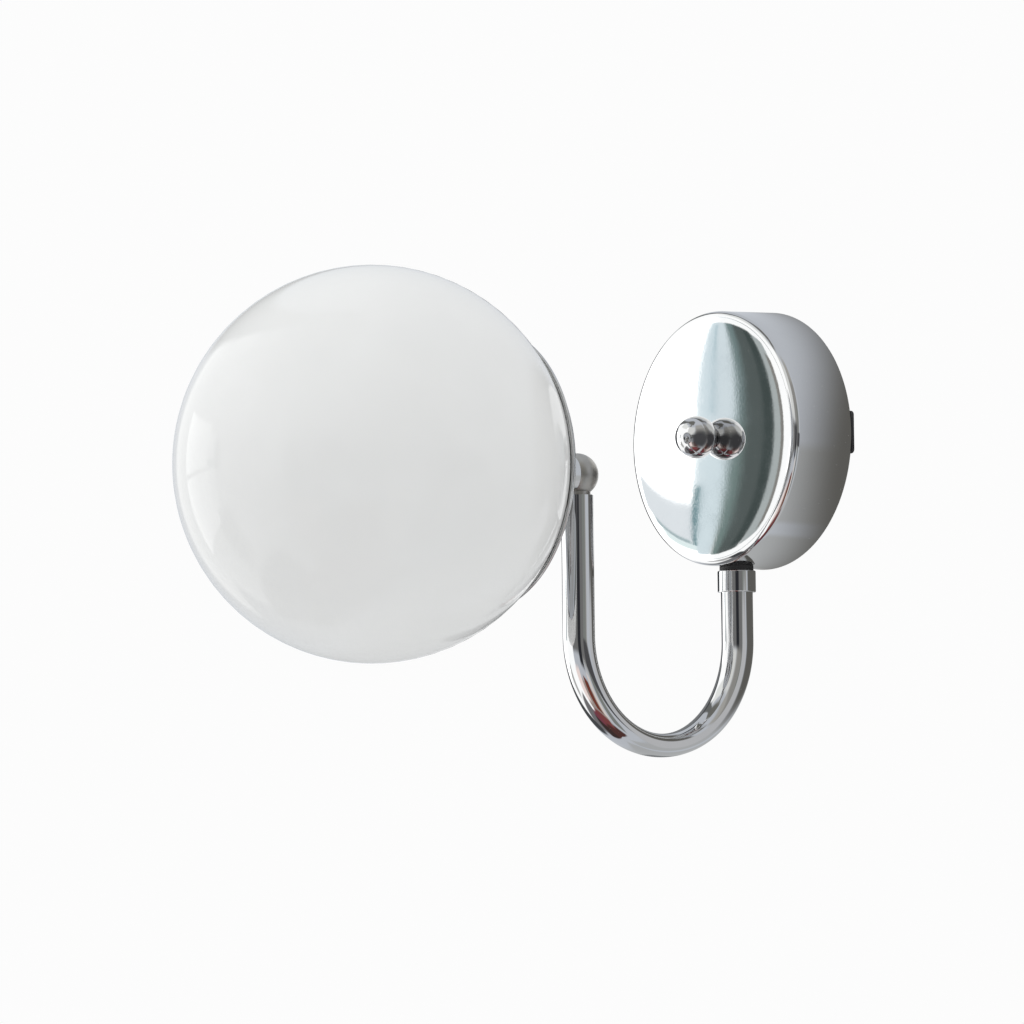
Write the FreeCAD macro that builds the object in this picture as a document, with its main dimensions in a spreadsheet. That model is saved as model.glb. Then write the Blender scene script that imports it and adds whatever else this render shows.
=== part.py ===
import FreeCAD, Part
import math
import os
import re
import Sketcher
from FreeCAD import Placement, Rotation, Vector

# A globe wall sconce: a round canopy on a wall strip, a return-bent tube that leaves the canopy's
# underside and climbs to a ball knuckle, and an opal glass globe carried on its side by a shallow dish.
#
# Frame, in millimetres: the wall is the plane y = 0 and the lamp stands out towards -Y. +Z is up,
# x = 0 is the plane of symmetry, and the origin is the centre of the wall strip's rear face.
# A turned piece is drawn about its own Z axis. Laid "outward", its +Z points away from the wall.

OUTWARD = Rotation(Vector(1, 0, 0), 90)
UPRIGHT = Rotation()
STAR_TEETH = 12
CLIPS = 3
BEND_STATIONS = 12
SLACK = 0.45

DIMENSIONS = {
    # wall strip
    "strip_length": 122, "strip_height": 20, "strip_gauge": 1.5, "strip_corner": 2,
    "wall_slot_spacing": 88, "wall_slot_length": 14, "wall_slot_width": 5, "earth_hole_width": 4,
    # canopy: a drawn cup with a slightly crowned face
    "canopy_front_width": 120, "canopy_rear_width": 122, "canopy_depth": 34, "canopy_wall": 1,
    "canopy_round": 3, "canopy_crown": 0.8, "hole_clearance": 0.3,
    # stud and finial
    "stud_width": 8, "stud_length": 47.2, "stud_inset": 0.3, "stud_nut_flats": 13, "stud_nut_height": 5,
    "finial_width": 20, "finial_reach": 45.1, "finial_seat": 8.5, "finial_bore_depth": 12.5,
    "running_fit": 0.05,
    # arm tube
    "arm_reach": 21.4, "tube_width": 15, "tube_wall": 1.25, "bend_radius": 48, "bend_thickness": 11,
    "bend_drop": 95.2, "collar_width": 18, "collar_drop": 62.2, "collar_height": 10.2,
    "socket_depth": 6, "edge_break": 0.5,
    # hollow threaded nipples and their nuts
    "nipple_width": 10, "nipple_bore": 7.5, "nipple_nut_flats": 14, "nipple_nut_height": 4,
    "nipple_show": 2, "star_gauge": 0.8, "star_width": 16, "star_notch_depth": 1.4,
    "star_notch_root": 0.6, "star_notch_mouth": 2.8, "saddle_width": 16, "saddle_gauge": 1.6,
    "saddle_blank_height": 4,
    # ball knuckle and neck
    "knuckle_width": 20, "stem_drop": 9.3, "stem_engagement": 3, "stem_play": 0.05, "bush_length": 12,
    "knuckle_clear": 9.2, "neck_engagement": 3.3, "holder_engagement": 6,
    # globe, its dish and the spring clips in its mouth
    "globe_reach": 236.1, "globe_drop": 20.7, "globe_width": 180, "globe_wall": 3, "mouth_width": 80,
    "dish_gap": 1, "dish_wall": 1, "dish_rim_width": 130, "hub_width": 24,
    "gasket_gauge": 0.7, "gasket_outer_angle": 43.5, "gasket_inner_angle": 40,
    "clip_plate_width": 40, "clip_plate_gauge": 1, "clip_width": 9, "clip_gauge": 0.5,
    "clip_bend": 11, "clip_contact": 39.6, "clip_start": 9.5, "clip_tail_angle": 40,
    "rivet_reach": 15, "rivet_width": 4, "rivet_top": 2.4, "rivet_height": 1,
    # lampholder and lamp, along the globe's axis from the globe's centre
    "holder_rear": 84.4, "holder_width": 28, "holder_wall": 1.4, "cap_length": 20,
    "cap_neck_width": 15, "cap_neck": 4, "cap_shoulder": 6.5, "skirt_length": 27, "skirt_taper": 2,
    "insulator_bore": 3.2, "insulator_play": 0.8, "insulator_depth": 8, "shell_inset": 10,
    "screw_shell_width": 14.4, "screw_shell_wall": 0.4, "screw_shell_length": 17, "screw_shell_eye": 6,
    "contact_width": 4.8, "contact_height": 3.1, "contact_stem": 3,
    "holder_screw_width": 3.6, "holder_screw_height": 3, "holder_screw_spacing": 15,
    "lamp_tip": 50.9, "tip_width": 6.4, "tip_face": 4, "tip_height": 1.6, "tip_bevel": 1,
    "lamp_cap_width": 13.8, "lamp_cap_rear": 1.2, "lamp_cap_floor": 8.8, "lamp_cap_shoulder": 4.2,
    "lamp_cap_front": 18.5, "lamp_cap_gauge": 0.5,
    "housing_collar_width": 17.2, "housing_collar": 21, "housing_waist_width": 21, "housing_waist": 29,
    "lamp_ball_width": 45, "lamp_ball_centre": 4.5, "lamp_dome_angle": 58, "lamp_wall": 1,
    # wiring
    "block_length": 26, "block_height": 16, "block_depth": 13, "block_centre": 23, "pole_pitch": 8.5,
    "pole_width": 5, "pole_bore": 3, "pole_inset": 1.5, "clamp_width": 3, "clamp_play": 0.2,
    "clamp_length": 3, "clamp_spacing": 8,
    "wire_width": 2.2, "wire_pitch": 2.8, "earth_centre": 24, "earth_ring_width": 8,
    "earth_ring_gauge": 0.8, "earth_head_width": 7.6, "earth_head_edge": 1.4, "earth_head_round": 1.2,
}


def make_sheet():
    """Writes the driving dimensions into a spreadsheet, one named cell each."""
    sheet = doc.addObject("Spreadsheet::Sheet", "dims")
    for row, (name, value) in enumerate(DIMENSIONS.items(), start=1):
        sheet.set(f"A{row}", name)
        sheet.set(f"B{row}", str(value))
        sheet.setAlias(f"B{row}", name)
    doc.recompute()
    return sheet


def bound(text):
    """Turns a sum on dimension names into an expression on the sheet's cells."""
    return re.sub(r"[a-z][a-z_]+", lambda word: ("dims." if word[0] in DIMENSIONS else "") + word[0], text)


def value(text):
    """The present value of such a sum."""
    result = sheet.evalExpression(bound(text))
    return float(getattr(result, "Value", result))


def place(piece, rotation=UPRIGHT, across="0", forward="0", up="0"):
    """Puts a piece in the row: across along X, forward away from the wall, up along Z."""
    piece.Placement = Placement(Vector(), rotation)
    piece.setExpression("Placement.Base.x", bound(across))
    piece.setExpression("Placement.Base.y", bound(f"-({forward})"))
    piece.setExpression("Placement.Base.z", bound(up))
    return keep(piece)


def keep(piece):
    """Counts a piece that stands in the row's frame."""
    pieces.append(piece)
    return piece


# ---- sketches and features ----------------------------------------------------------------------


def bow(across, along):
    """Between two points of an outline: the stretch is round, about this centre."""
    return ("bow", across, along)


def plane_of(body, role):
    return next(plane for plane in body.Origin.OriginFeatures if plane.Role == role)


def new_sketch(body, name, role="XZ_Plane"):
    drawing = body.newObject("Sketcher::SketchObject", name)
    drawing.AttachmentSupport = [(plane_of(body, role), "")]
    drawing.MapMode = "FlatFace"
    return drawing


def tie(drawing, kind, edge, end, text, name):
    """Holds one coordinate of an edge's end, or of a round edge's centre, at a sheet value."""
    index = drawing.addConstraint(Sketcher.Constraint(kind, -1, 1, edge, end, value(text)))
    drawing.renameConstraint(index, name)
    drawing.setExpression(f"Constraints.{name}", bound(text))


def draw_outline(drawing, outline):
    """Draws a closed outline of points and bows, with every point tied to the sheet."""
    points = [item for item in outline if item[0] != "bow"]
    spots = [Vector(value(u), value(v), 0) for u, v in points]
    centres = {}
    for index, item in enumerate(outline):
        if item[0] == "bow":
            before = sum(1 for other in outline[:index] if other[0] != "bow") - 1
            centres[before] = item[1:]
    ends = []
    for edge, start in enumerate(spots):
        finish = spots[(edge + 1) % len(spots)]
        if edge not in centres:
            drawing.addGeometry(Part.LineSegment(start, finish))
            ends.append((1, 2))
            continue
        centre = Vector(*(value(text) for text in centres[edge]), 0)
        from_centre, to_centre = start - centre, finish - centre
        turns_left = from_centre.x * to_centre.y - from_centre.y * to_centre.x >= 0
        angles = [math.atan2(from_centre.y, from_centre.x), math.atan2(to_centre.y, to_centre.x)]
        first, last = angles if turns_left else angles[::-1]
        if last < first:
            last += 2 * math.pi
        circle = Part.Circle(centre, Vector(0, 0, 1), from_centre.Length)
        drawing.addGeometry(Part.ArcOfCircle(circle, first, last))
        ends.append((1, 2) if turns_left else (2, 1))
    count = len(spots)
    for edge in range(count):
        after = (edge + 1) % count
        joint = Sketcher.Constraint("Coincident", edge, ends[edge][1], after, ends[after][0])
        drawing.addConstraint(joint)
    for edge, (u, v) in enumerate(points):
        tie(drawing, "DistanceX", edge, ends[edge][0], u, f"u{edge}")
        tie(drawing, "DistanceY", edge, ends[edge][0], v, f"v{edge}")
    for edge, (u, v) in centres.items():
        chord = spots[(edge + 1) % count] - spots[edge]
        if abs(chord.y) > abs(chord.x):
            tie(drawing, "DistanceX", edge, 3, u, f"centre{edge}")
        else:
            tie(drawing, "DistanceY", edge, 3, v, f"centre{edge}")


def draw_circle(drawing, across, along, radius):
    circle = Part.Circle(Vector(value(across), value(along), 0), Vector(0, 0, 1), value(radius))
    drawing.addGeometry(circle)
    tie(drawing, "DistanceX", 0, 3, across, "across")
    tie(drawing, "DistanceY", 0, 3, along, "along")
    index = drawing.addConstraint(Sketcher.Constraint("Radius", 0, value(radius)))
    drawing.renameConstraint(index, "radius")
    drawing.setExpression("Constraints.radius", bound(radius))


def new_body(label):
    body = doc.addObject("PartDesign::Body", label)
    body.Label = label
    return body


def turned(label, outline):
    """A body turned about its own Z axis from a half outline of (radius, height) points."""
    body = new_body(label)
    drawing = new_sketch(body, f"{label}_outline")
    draw_outline(drawing, outline)
    turn = body.newObject("PartDesign::Revolution", f"{label}_turn")
    turn.Profile = drawing
    turn.ReferenceAxis = (drawing, ["V_Axis"])
    turn.Angle = 360
    doc.recompute()
    return body


def pad(body, drawing, length, midplane=False):
    feature = body.newObject("PartDesign::Pad", f"{drawing.Name}_pad")
    feature.Profile = drawing
    feature.setExpression("Length", bound(length))
    feature.SideType = "Symmetric" if midplane else "One side"
    doc.recompute()
    return feature


def pocket(body, drawing, length, reverse=False):
    """Cuts a sketch through the body, and stops if nothing was cut."""
    before = body.Shape.Volume
    feature = body.newObject("PartDesign::Pocket", f"{drawing.Name}_pocket")
    feature.Profile = drawing
    feature.setExpression("Length", bound(length))
    feature.Reversed = reverse
    doc.recompute()
    if not body.Shape.Volume < before:
        raise RuntimeError(f"{feature.Name} cuts nothing")
    return feature


def pattern_round(body, feature, count):
    """Repeats a feature about the body's Z axis."""
    pattern = body.newObject("PartDesign::PolarPattern", f"{feature.Name}_round")
    pattern.Originals = [feature]
    axis = next(line for line in body.Origin.OriginFeatures if line.Role == "Z_Axis")
    pattern.Axis = (axis, [""])
    pattern.Angle = 360
    pattern.Occurrences = count
    body.Tip = pattern
    doc.recompute()
    return pattern


# ---- Part primitives and booleans ---------------------------------------------------------------


def solid(kind, name, sizes, at=("0", "0", "0"), rotation=UPRIGHT):
    """A Part primitive with its sizes and its place tied to the sheet."""
    shape = doc.addObject(f"Part::{kind}", name)
    for size, text in sizes.items():
        shape.setExpression(size, bound(text))
    shape.Placement = Placement(Vector(), rotation)
    for axis, text in zip("xyz", at):
        shape.setExpression(f"Placement.Base.{axis}", bound(text))
    return shape


def cylinder(name, radius, height, at=("0", "0", "0"), rotation=UPRIGHT):
    return solid("Cylinder", name, {"Radius": radius, "Height": height}, at, rotation)


def box(name, length, width, height, at):
    return solid("Box", name, {"Length": length, "Width": width, "Height": height}, at)


def cut(label, base, *tools):
    tool = tools[0]
    if len(tools) > 1:
        tool = doc.addObject("Part::MultiFuse", f"{label}_tools")
        tool.Shapes = list(tools)
    result = doc.addObject("Part::Cut", label)
    result.Base, result.Tool = base, tool
    result.Label = label
    return result


def fuse(label, *shapes):
    result = doc.addObject("Part::MultiFuse", label)
    result.Shapes = list(shapes)
    result.Label = label
    return result


def group(label, shapes):
    """Identical fasteners, kept as separate solids in one node."""
    result = doc.addObject("Part::Compound", label)
    result.Links = list(shapes)
    result.Label = label
    return result


# ---- hardware that repeats ----------------------------------------------------------------------


def hex_nut(label, flats, height, bore):
    """A hexagon nut with one chamfered face, drawn from its seat upwards."""
    across = f"({flats}) / 2"
    prism = solid("Prism", f"{label}_prism", {"Circumradius": f"{across} / cos(30)", "Height": height})
    prism.Polygon = 6
    slope = {"Radius1": f"{across} + ({height}) / tan(30)", "Radius2": across, "Height": height}
    chamfer = solid("Cone", f"{label}_chamfer", slope)
    blank = doc.addObject("Part::Common", f"{label}_blank")
    blank.Base, blank.Tool = prism, chamfer
    return cut(label, blank, cylinder(f"{label}_bore", bore, height))


def star_washer(label, bore):
    """An external-tooth lock washer."""
    rim = "star_width / 2"
    body = turned(label, [(bore, "0"), (rim, "0"), (rim, "star_gauge"), (bore, "star_gauge")])
    notch = new_sketch(body, f"{label}_notch", "XY_Plane")
    root, narrow, wide = f"{rim} - star_notch_depth", "star_notch_root / 2", "star_notch_mouth / 2"
    mouth = f"{rim} + star_notch_depth"
    draw_outline(notch, [(root, f"-{narrow}"), (mouth, f"-{wide}"), (mouth, wide), (root, narrow)])
    gap = pocket(body, notch, "star_gauge * 2", reverse=True)
    pattern_round(body, gap, STAR_TEETH)
    return body


def sleeve(label, outer, inner, length):
    """A plain round tube with broken outer edges."""
    broken = f"{outer} - edge_break"
    return turned(label, [
        (inner, "0"), (broken, "0"), (outer, "edge_break"), (outer, f"({length}) - edge_break"),
        (broken, length), (inner, length),
    ])


def nipple(label, length):
    """A hollow threaded tube, its thread drawn plain at its outer size."""
    return sleeve(label, "nipple_width / 2", "nipple_bore / 2", length)


# ---- wall strip, stud and finial ----------------------------------------------------------------


def make_wall_strip():
    """The flat strip on the wall: a slot at each end and the stud's hole in the middle."""
    body = new_body("wall_bracket")
    half_length, half_height, corner = "strip_length / 2", "strip_height / 2", "strip_corner"
    outline = new_sketch(body, "strip_outline")
    inner_x, inner_z = f"{half_length} - {corner}", f"{half_height} - {corner}"
    draw_outline(outline, [
        (f"-({inner_x})", f"-({half_height})"), (inner_x, f"-({half_height})"),
        bow(inner_x, f"-({inner_z})"), (half_length, f"-({inner_z})"), (half_length, inner_z),
        bow(inner_x, inner_z),
        (inner_x, half_height), (f"-({inner_x})", half_height), bow(f"-({inner_x})", inner_z),
        (f"-({half_length})", inner_z), (f"-({half_length})", f"-({inner_z})"),
        bow(f"-({inner_x})", f"-({inner_z})"),
    ])
    pad(body, outline, "strip_gauge")
    hole = new_sketch(body, "stud_hole")
    draw_circle(hole, "0", "0", "stud_width / 2")
    pocket(body, hole, "strip_gauge * 2", reverse=True)
    earth = new_sketch(body, "earth_hole")
    draw_circle(earth, "earth_centre", "0", "earth_hole_width / 2")
    pocket(body, earth, "strip_gauge * 2", reverse=True)
    slot = new_sketch(body, "wall_slot")
    near = "wall_slot_spacing / 2 - (wall_slot_length - wall_slot_width) / 2"
    far = "wall_slot_spacing / 2 + (wall_slot_length - wall_slot_width) / 2"
    half_width = "wall_slot_width / 2"
    draw_outline(slot, [
        (near, f"-{half_width}"), (far, f"-{half_width}"), bow(far, "0"),
        (far, half_width), (near, half_width), bow(near, "0"),
    ])
    one_slot = pocket(body, slot, "strip_gauge * 2", reverse=True)
    both = body.newObject("PartDesign::Mirrored", "both_slots")
    both.Originals = [one_slot]
    both.MirrorPlane = (plane_of(body, "YZ_Plane"), [""])
    body.Tip = both
    doc.recompute()
    place(body)


def make_stud():
    """The solid stud that carries the canopy, with its washer and nut on the strip."""
    radius, chamfer = "stud_width / 2", "edge_break"
    stud = turned("centre_stud", [
        ("0", "0"), (radius, "0"), (radius, f"stud_length - {chamfer}"),
        (f"{radius} - {chamfer}", "stud_length"), ("0", "stud_length"),
    ])
    place(stud, OUTWARD, forward="stud_inset")
    place(star_washer("stud_washer", radius), OUTWARD, forward="strip_gauge")
    nut = hex_nut("stud_nut", "stud_nut_flats", "stud_nut_height", radius)
    place(nut, OUTWARD, forward="strip_gauge + star_gauge")


def make_finial():
    """The ball nut that holds the canopy on: a ball with a small seat and a blind bore."""
    radius, bore, seat = "finial_width / 2", "stud_width / 2 + running_fit", "-finial_seat"
    end = "finial_bore_depth - finial_seat"
    ball = turned("finial_ball", [
        (bore, seat), (f"sqrt(({radius})^2 - finial_seat^2)", seat), bow("0", "0"),
        ("0", radius), ("0", end), (bore, end),
    ])
    place(ball, OUTWARD, forward="finial_reach")


def make_canopy():
    """The canopy: crowned face, rounded front edge, slightly flared side, open at the wall."""
    front, rear, wall = "canopy_front_width / 2", "canopy_rear_width / 2", "canopy_wall"
    face, hole = "canopy_depth", "stud_width / 2 + hole_clearance"
    flat = f"{front} - canopy_round"
    crown_radius = f"(({flat})^2 + canopy_crown^2) / (2 * canopy_crown)"
    crown_centre = f"{face} + canopy_crown - {crown_radius}"
    inner_centre = f"{crown_centre} - {wall}"
    body = turned("canopy", [
        (rear, "0"), (front, f"{face} - canopy_round"), bow(flat, f"{face} - canopy_round"),
        (flat, face), bow("0", crown_centre), (hole, f"{face} + canopy_crown"),
        (hole, f"{face} + canopy_crown - {wall}"), bow("0", inner_centre), (flat, f"{face} - {wall}"),
        bow(flat, f"{face} - canopy_round"), (f"{front} - {wall}", f"{face} - canopy_round"),
        (f"{rear} - {wall}", "0"),
    ])
    outlet = new_sketch(body, "arm_hole")
    draw_circle(outlet, "0", "arm_reach - strip_gauge", "nipple_width / 2 + hole_clearance")
    pocket(body, outlet, rear, reverse=True)
    place(body, OUTWARD, forward="strip_gauge")


# ---- arm ----------------------------------------------------------------------------------------


def side_radius(inset="0"):
    """The canopy side's radius over the arm, less an inset."""
    share = "(arm_reach - strip_gauge) / (canopy_depth - canopy_round)"
    return f"((canopy_rear_width - (canopy_rear_width - canopy_front_width) * {share}) / 2 - ({inset}))"


def side_cone(name, inset):
    """The canopy's side as a cone, for cutting the washers that sit on it."""
    rear = f"canopy_rear_width / 2 - {inset}"
    front = f"canopy_front_width / 2 - {inset}"
    sizes = {"Radius1": rear, "Radius2": front, "Height": "canopy_depth - canopy_round"}
    return solid("Cone", name, sizes, ("0", "-strip_gauge", "0"), OUTWARD)


def make_arm_fixing():
    """What clamps the arm to the canopy: two saddle washers, a star washer, a nut and a nipple."""
    bore, radius = "nipple_width / 2", "saddle_width / 2"
    at = ("0", "-arm_reach", "-collar_drop")
    height = "saddle_blank_height"
    blank = cylinder("outer_saddle_blank", radius, height, at)
    ring = cut("outer_saddle_ring", blank, cylinder("outer_saddle_bore", bore, height, at))
    keep(cut("outer_saddle", ring, side_cone("outer_saddle_seat", "0")))

    top = side_radius("canopy_wall + saddle_gauge")
    low = ("0", "-arm_reach", f"-({top}) - {height}")
    blank = cylinder("inner_saddle_blank", radius, height, low)
    ring = cut("inner_saddle_ring", blank, cylinder("inner_saddle_bore", bore, height, low))
    saddle = doc.addObject("Part::Common", "inner_saddle")
    saddle.Base, saddle.Tool = ring, side_cone("inner_saddle_seat", "canopy_wall")
    saddle.Label = "inner_saddle"
    keep(saddle)

    place(star_washer("arm_washer", bore), UPRIGHT, forward="arm_reach", up=f"-({top})")
    nut = hex_nut("arm_nut", "nipple_nut_flats", "nipple_nut_height", bore)
    place(nut, UPRIGHT, forward="arm_reach", up=f"-({top}) + star_gauge")
    foot = "collar_drop + collar_height - socket_depth"
    rod = nipple("arm_nipple", f"{foot} - ({top}) + star_gauge + nipple_nut_height + nipple_show")
    place(rod, UPRIGHT, forward="arm_reach", up=f"-({foot})")


def make_arm_collar():
    """The collar under the canopy: threaded above, and a socket for the tube below."""
    outer, thread, socket = "collar_width / 2", "nipple_width / 2", "tube_width / 2"
    height, broken = "collar_height", f"{outer} - edge_break"
    collar = turned("arm_collar", [
        (socket, "0"), (broken, "0"), (outer, "edge_break"), (outer, f"{height} - edge_break"),
        (broken, height), (thread, height), (thread, "socket_depth"), (socket, "socket_depth"),
    ])
    place(collar, UPRIGHT, forward="arm_reach", up="-(collar_drop + collar_height)")


def bend_section(turn, inset):
    """One section of the return bend, at an angle round it. The bend flattens the tube from the inside of
    the curve, most at its lowest point. The outside keeps its radius, and the tube widens by half as
    much as it thins."""
    radius = value("tube_width / 2")
    loss = value("tube_width - bend_thickness") * math.sin(turn) ** 2
    deep, wide = radius - loss / 2 - inset, radius + loss / 4 - inset
    is_round = math.isclose(wide, deep)
    ring = Part.Circle(Vector(), Vector(0, 0, 1), deep) if is_round else Part.Ellipse(Vector(), wide, deep)
    across, outward = Vector(1, 0, 0), Vector(0, math.cos(turn), -math.sin(turn))
    middle = Vector(0, -value("arm_reach + bend_radius"), -value("bend_drop"))
    wire = Part.Wire([ring.toShape()])
    wire.Placement = Placement(
        middle + outward * (value("bend_radius") + loss / 2),
        Rotation(across, outward, across.cross(outward), "ZXY"),
    )
    return wire


def tube_run(inset):
    """The tube's solid, shrunk by the inset: one leg, the bend and the other leg."""
    turns = [math.pi * station / BEND_STATIONS for station in range(BEND_STATIONS + 1)]
    bend = Part.makeLoft([bend_section(turn, inset) for turn in turns], True, False)
    radius, drop = value("tube_width / 2") - inset, value("bend_drop")
    near, far = value("arm_reach"), value("arm_reach + 2 * bend_radius")
    near_top = -value("collar_drop + collar_height - socket_depth")
    far_top = -value("globe_drop + stem_drop")
    legs = [
        Part.makeCylinder(radius, top + drop, Vector(0, -y, -drop))
        for y, top in ((near, near_top), (far, far_top))
    ]
    return bend.fuse(legs).removeSplitter()


def make_arm_tube():
    """The return-bent tube, with a wire way right through."""
    arm = doc.addObject("Part::Feature", "arm_tube")
    arm.Label = "arm_tube"
    arm.Shape = tube_run(0.0).cut(tube_run(value("tube_wall")))
    keep(arm)


def make_knuckle():
    """The ball knuckle, with a stem in the tube below, a flat seat for the neck and a bore from each."""
    radius, bore = "knuckle_width / 2", "nipple_width / 2"
    before = "sqrt((knuckle_width / 2)^2 - (collar_width / 2)^2)"
    foot = "stem_drop + stem_engagement"
    ball = solid("Sphere", "knuckle_ball", {"Radius": radius})
    stem_foot = ("0", "0", f"-({foot})")
    stem = cylinder("knuckle_stem", "tube_width / 2 - tube_wall - stem_play", foot, stem_foot)
    corner = (f"-{radius}", f"-({before}) - {radius}", "-stem_drop")
    front = box("knuckle_front", "knuckle_width", radius, f"stem_drop + {radius}", corner)
    lower_bore = cylinder("knuckle_lower_bore", bore, foot, stem_foot)
    front_bore = cylinder("knuckle_front_bore", bore, radius, ("0", "0", "0"), OUTWARD)
    knuckle = cut("ball_knuckle", fuse("knuckle_blank", ball, stem), front, lower_bore, front_bore)
    far_leg = "arm_reach + 2 * bend_radius"
    place(knuckle, UPRIGHT, forward=far_leg, up="-globe_drop")
    bush_foot = f"globe_drop + {foot} + bush_length"
    bush = sleeve("tube_bush", "tube_width / 2 - tube_wall", bore, "bush_length")
    place(bush, UPRIGHT, forward=far_leg, up=f"-({bush_foot})")
    foot = f"{bush_foot} - nipple_show"
    rod = nipple("knuckle_nipple", f"{foot} - (globe_drop + knuckle_clear)")
    place(rod, UPRIGHT, forward=far_leg, up=f"-({foot})")


# ---- neck, dish and clips -----------------------------------------------------------------------


def hub_back():
    """How far the dish's outer hub face stands behind the globe's centre."""
    return "sqrt((globe_width / 2 + dish_gap + dish_wall)^2 - (hub_width / 2)^2)"


def hub_front():
    """How far the dish's inner hub face stands behind the globe's centre."""
    return "sqrt((globe_width / 2 + dish_gap)^2 - (hub_width / 2)^2)"


def make_neck():
    """The plain sleeve between the knuckle and the dish, and the nipple inside it."""
    seat = "arm_reach + 2 * bend_radius + sqrt((knuckle_width / 2)^2 - (collar_width / 2)^2)"
    length = f"globe_reach - ({hub_back()}) - ({seat})"
    collar = sleeve("neck_collar", "collar_width / 2", "nipple_width / 2", length)
    place(collar, OUTWARD, forward=seat, up="-globe_drop")
    start = f"{seat} - neck_engagement"
    rod = nipple("neck_nipple", f"globe_reach - holder_rear + holder_engagement - ({start})")
    place(rod, OUTWARD, forward=start, up="-globe_drop")


def make_dish():
    """The shallow dish: a cap of a sphere with a flat hub, hugging the back of the globe."""
    inner, outer = "(globe_width / 2 + dish_gap)", "(globe_width / 2 + dish_gap + dish_wall)"
    rim, hub, bore = "dish_rim_width / 2", "hub_width / 2", "nipple_width / 2"
    share = f"{inner} / {outer}"
    rim_back = f"sqrt({outer}^2 - ({rim})^2)"
    dish = turned("globe_dish", [
        (bore, f"-({hub_back()})"), (hub, f"-({hub_back()})"), bow("0", "0"), (rim, f"-{rim_back}"),
        (f"({rim}) * {share}", f"-{rim_back} * {share}"), bow("0", "0"), (hub, f"-({hub_front()})"),
        (bore, f"-({hub_front()})"),
    ])
    place(dish, OUTWARD, forward="globe_reach", up="-globe_drop")
    near, far = "gasket_outer_angle", "gasket_inner_angle"
    skin = f"({inner} - gasket_gauge)"
    gasket = turned("dish_gasket", [
        (f"{inner} * sin({far})", f"-{inner} * cos({far})"), bow("0", "0"),
        (f"{inner} * sin({near})", f"-{inner} * cos({near})"),
        (f"{skin} * sin({near})", f"-{skin} * cos({near})"), bow("0", "0"),
        (f"{skin} * sin({far})", f"-{skin} * cos({far})"),
    ])
    place(gasket, OUTWARD, forward="globe_reach", up="-globe_drop")


def make_clips():
    """The nut that clamps the dish, and the plate with its three spring clips in the globe's mouth."""
    bore, seat = "nipple_width / 2", hub_front()
    behind = dict(rotation=OUTWARD, up="-globe_drop")
    place(star_washer("dish_washer", bore), forward=f"globe_reach - ({seat})", **behind)
    nut = hex_nut("dish_nut", "nipple_nut_flats", "nipple_nut_height", bore)
    place(nut, forward=f"globe_reach - ({seat}) + star_gauge", **behind)
    rim, gauge = "clip_plate_width / 2", "clip_plate_gauge"
    plate = turned("clip_plate", [(bore, "0"), (rim, "0"), (rim, gauge), (bore, gauge)])
    place(plate, forward="globe_reach - holder_rear - clip_plate_gauge", **behind)
    bend, tail = "clip_contact - clip_bend", "clip_tail_angle"
    inner = "(clip_bend - clip_gauge)"
    head = {"Radius1": "rivet_width / 2", "Radius2": "rivet_top / 2", "Height": "rivet_height"}
    rivets = []
    for number in range(CLIPS):
        spring = new_body(f"spring_clip_{number + 1}")
        leaf = new_sketch(spring, f"leaf_{number + 1}")
        draw_outline(leaf, [
            ("clip_start", "0"), (bend, "0"), bow(bend, "clip_bend"),
            (f"{bend} + clip_bend * cos({tail})", f"clip_bend + clip_bend * sin({tail})"),
            (f"{bend} + {inner} * cos({tail})", f"clip_bend + {inner} * sin({tail})"),
            bow(bend, "clip_bend"), (bend, "clip_gauge"), ("clip_start", "clip_gauge"),
        ])
        pad(spring, leaf, "clip_width", midplane=True)
        angle = 90 + 360 / CLIPS * number
        around = Rotation(Vector(0, 0, 1), angle)
        place(spring, OUTWARD * around, forward="globe_reach - holder_rear", up="-globe_drop")
        at = (f"rivet_reach * cos({angle})", f"rivet_reach * sin({angle})", "clip_gauge")
        rivets.append(solid("Cone", f"rivet_head_{number + 1}", head, at))
    place(group("clip_rivets", rivets), OUTWARD, forward="globe_reach - holder_rear", up="-globe_drop")


# ---- glass globe, lampholder and lamp -----------------------------------------------------------


def make_globe():
    """The blown globe: a sphere of even wall with a round mouth at the back."""
    outer, inner, mouth = "(globe_width / 2)", "(globe_width / 2 - globe_wall)", "(mouth_width / 2)"
    globe = turned("glass_globe", [
        (mouth, f"-sqrt({outer}^2 - {mouth}^2)"), bow("0", "0"), ("0", outer), ("0", inner), bow("0", "0"),
        (mouth, f"-sqrt({inner}^2 - {mouth}^2)"),
    ])
    place(globe, OUTWARD, forward="globe_reach", up="-globe_drop")


def from_globe(piece, behind):
    """Lays a piece on the globe's axis, its own origin this far behind the globe's centre."""
    return place(piece, OUTWARD, forward=f"globe_reach - ({behind})", up="-globe_drop")


def holder_screw_seat():
    """How far the lampholder's screw heads stand behind the globe's centre."""
    return "holder_rear - cap_length - shell_inset + insulator_depth + holder_screw_height"


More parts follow.
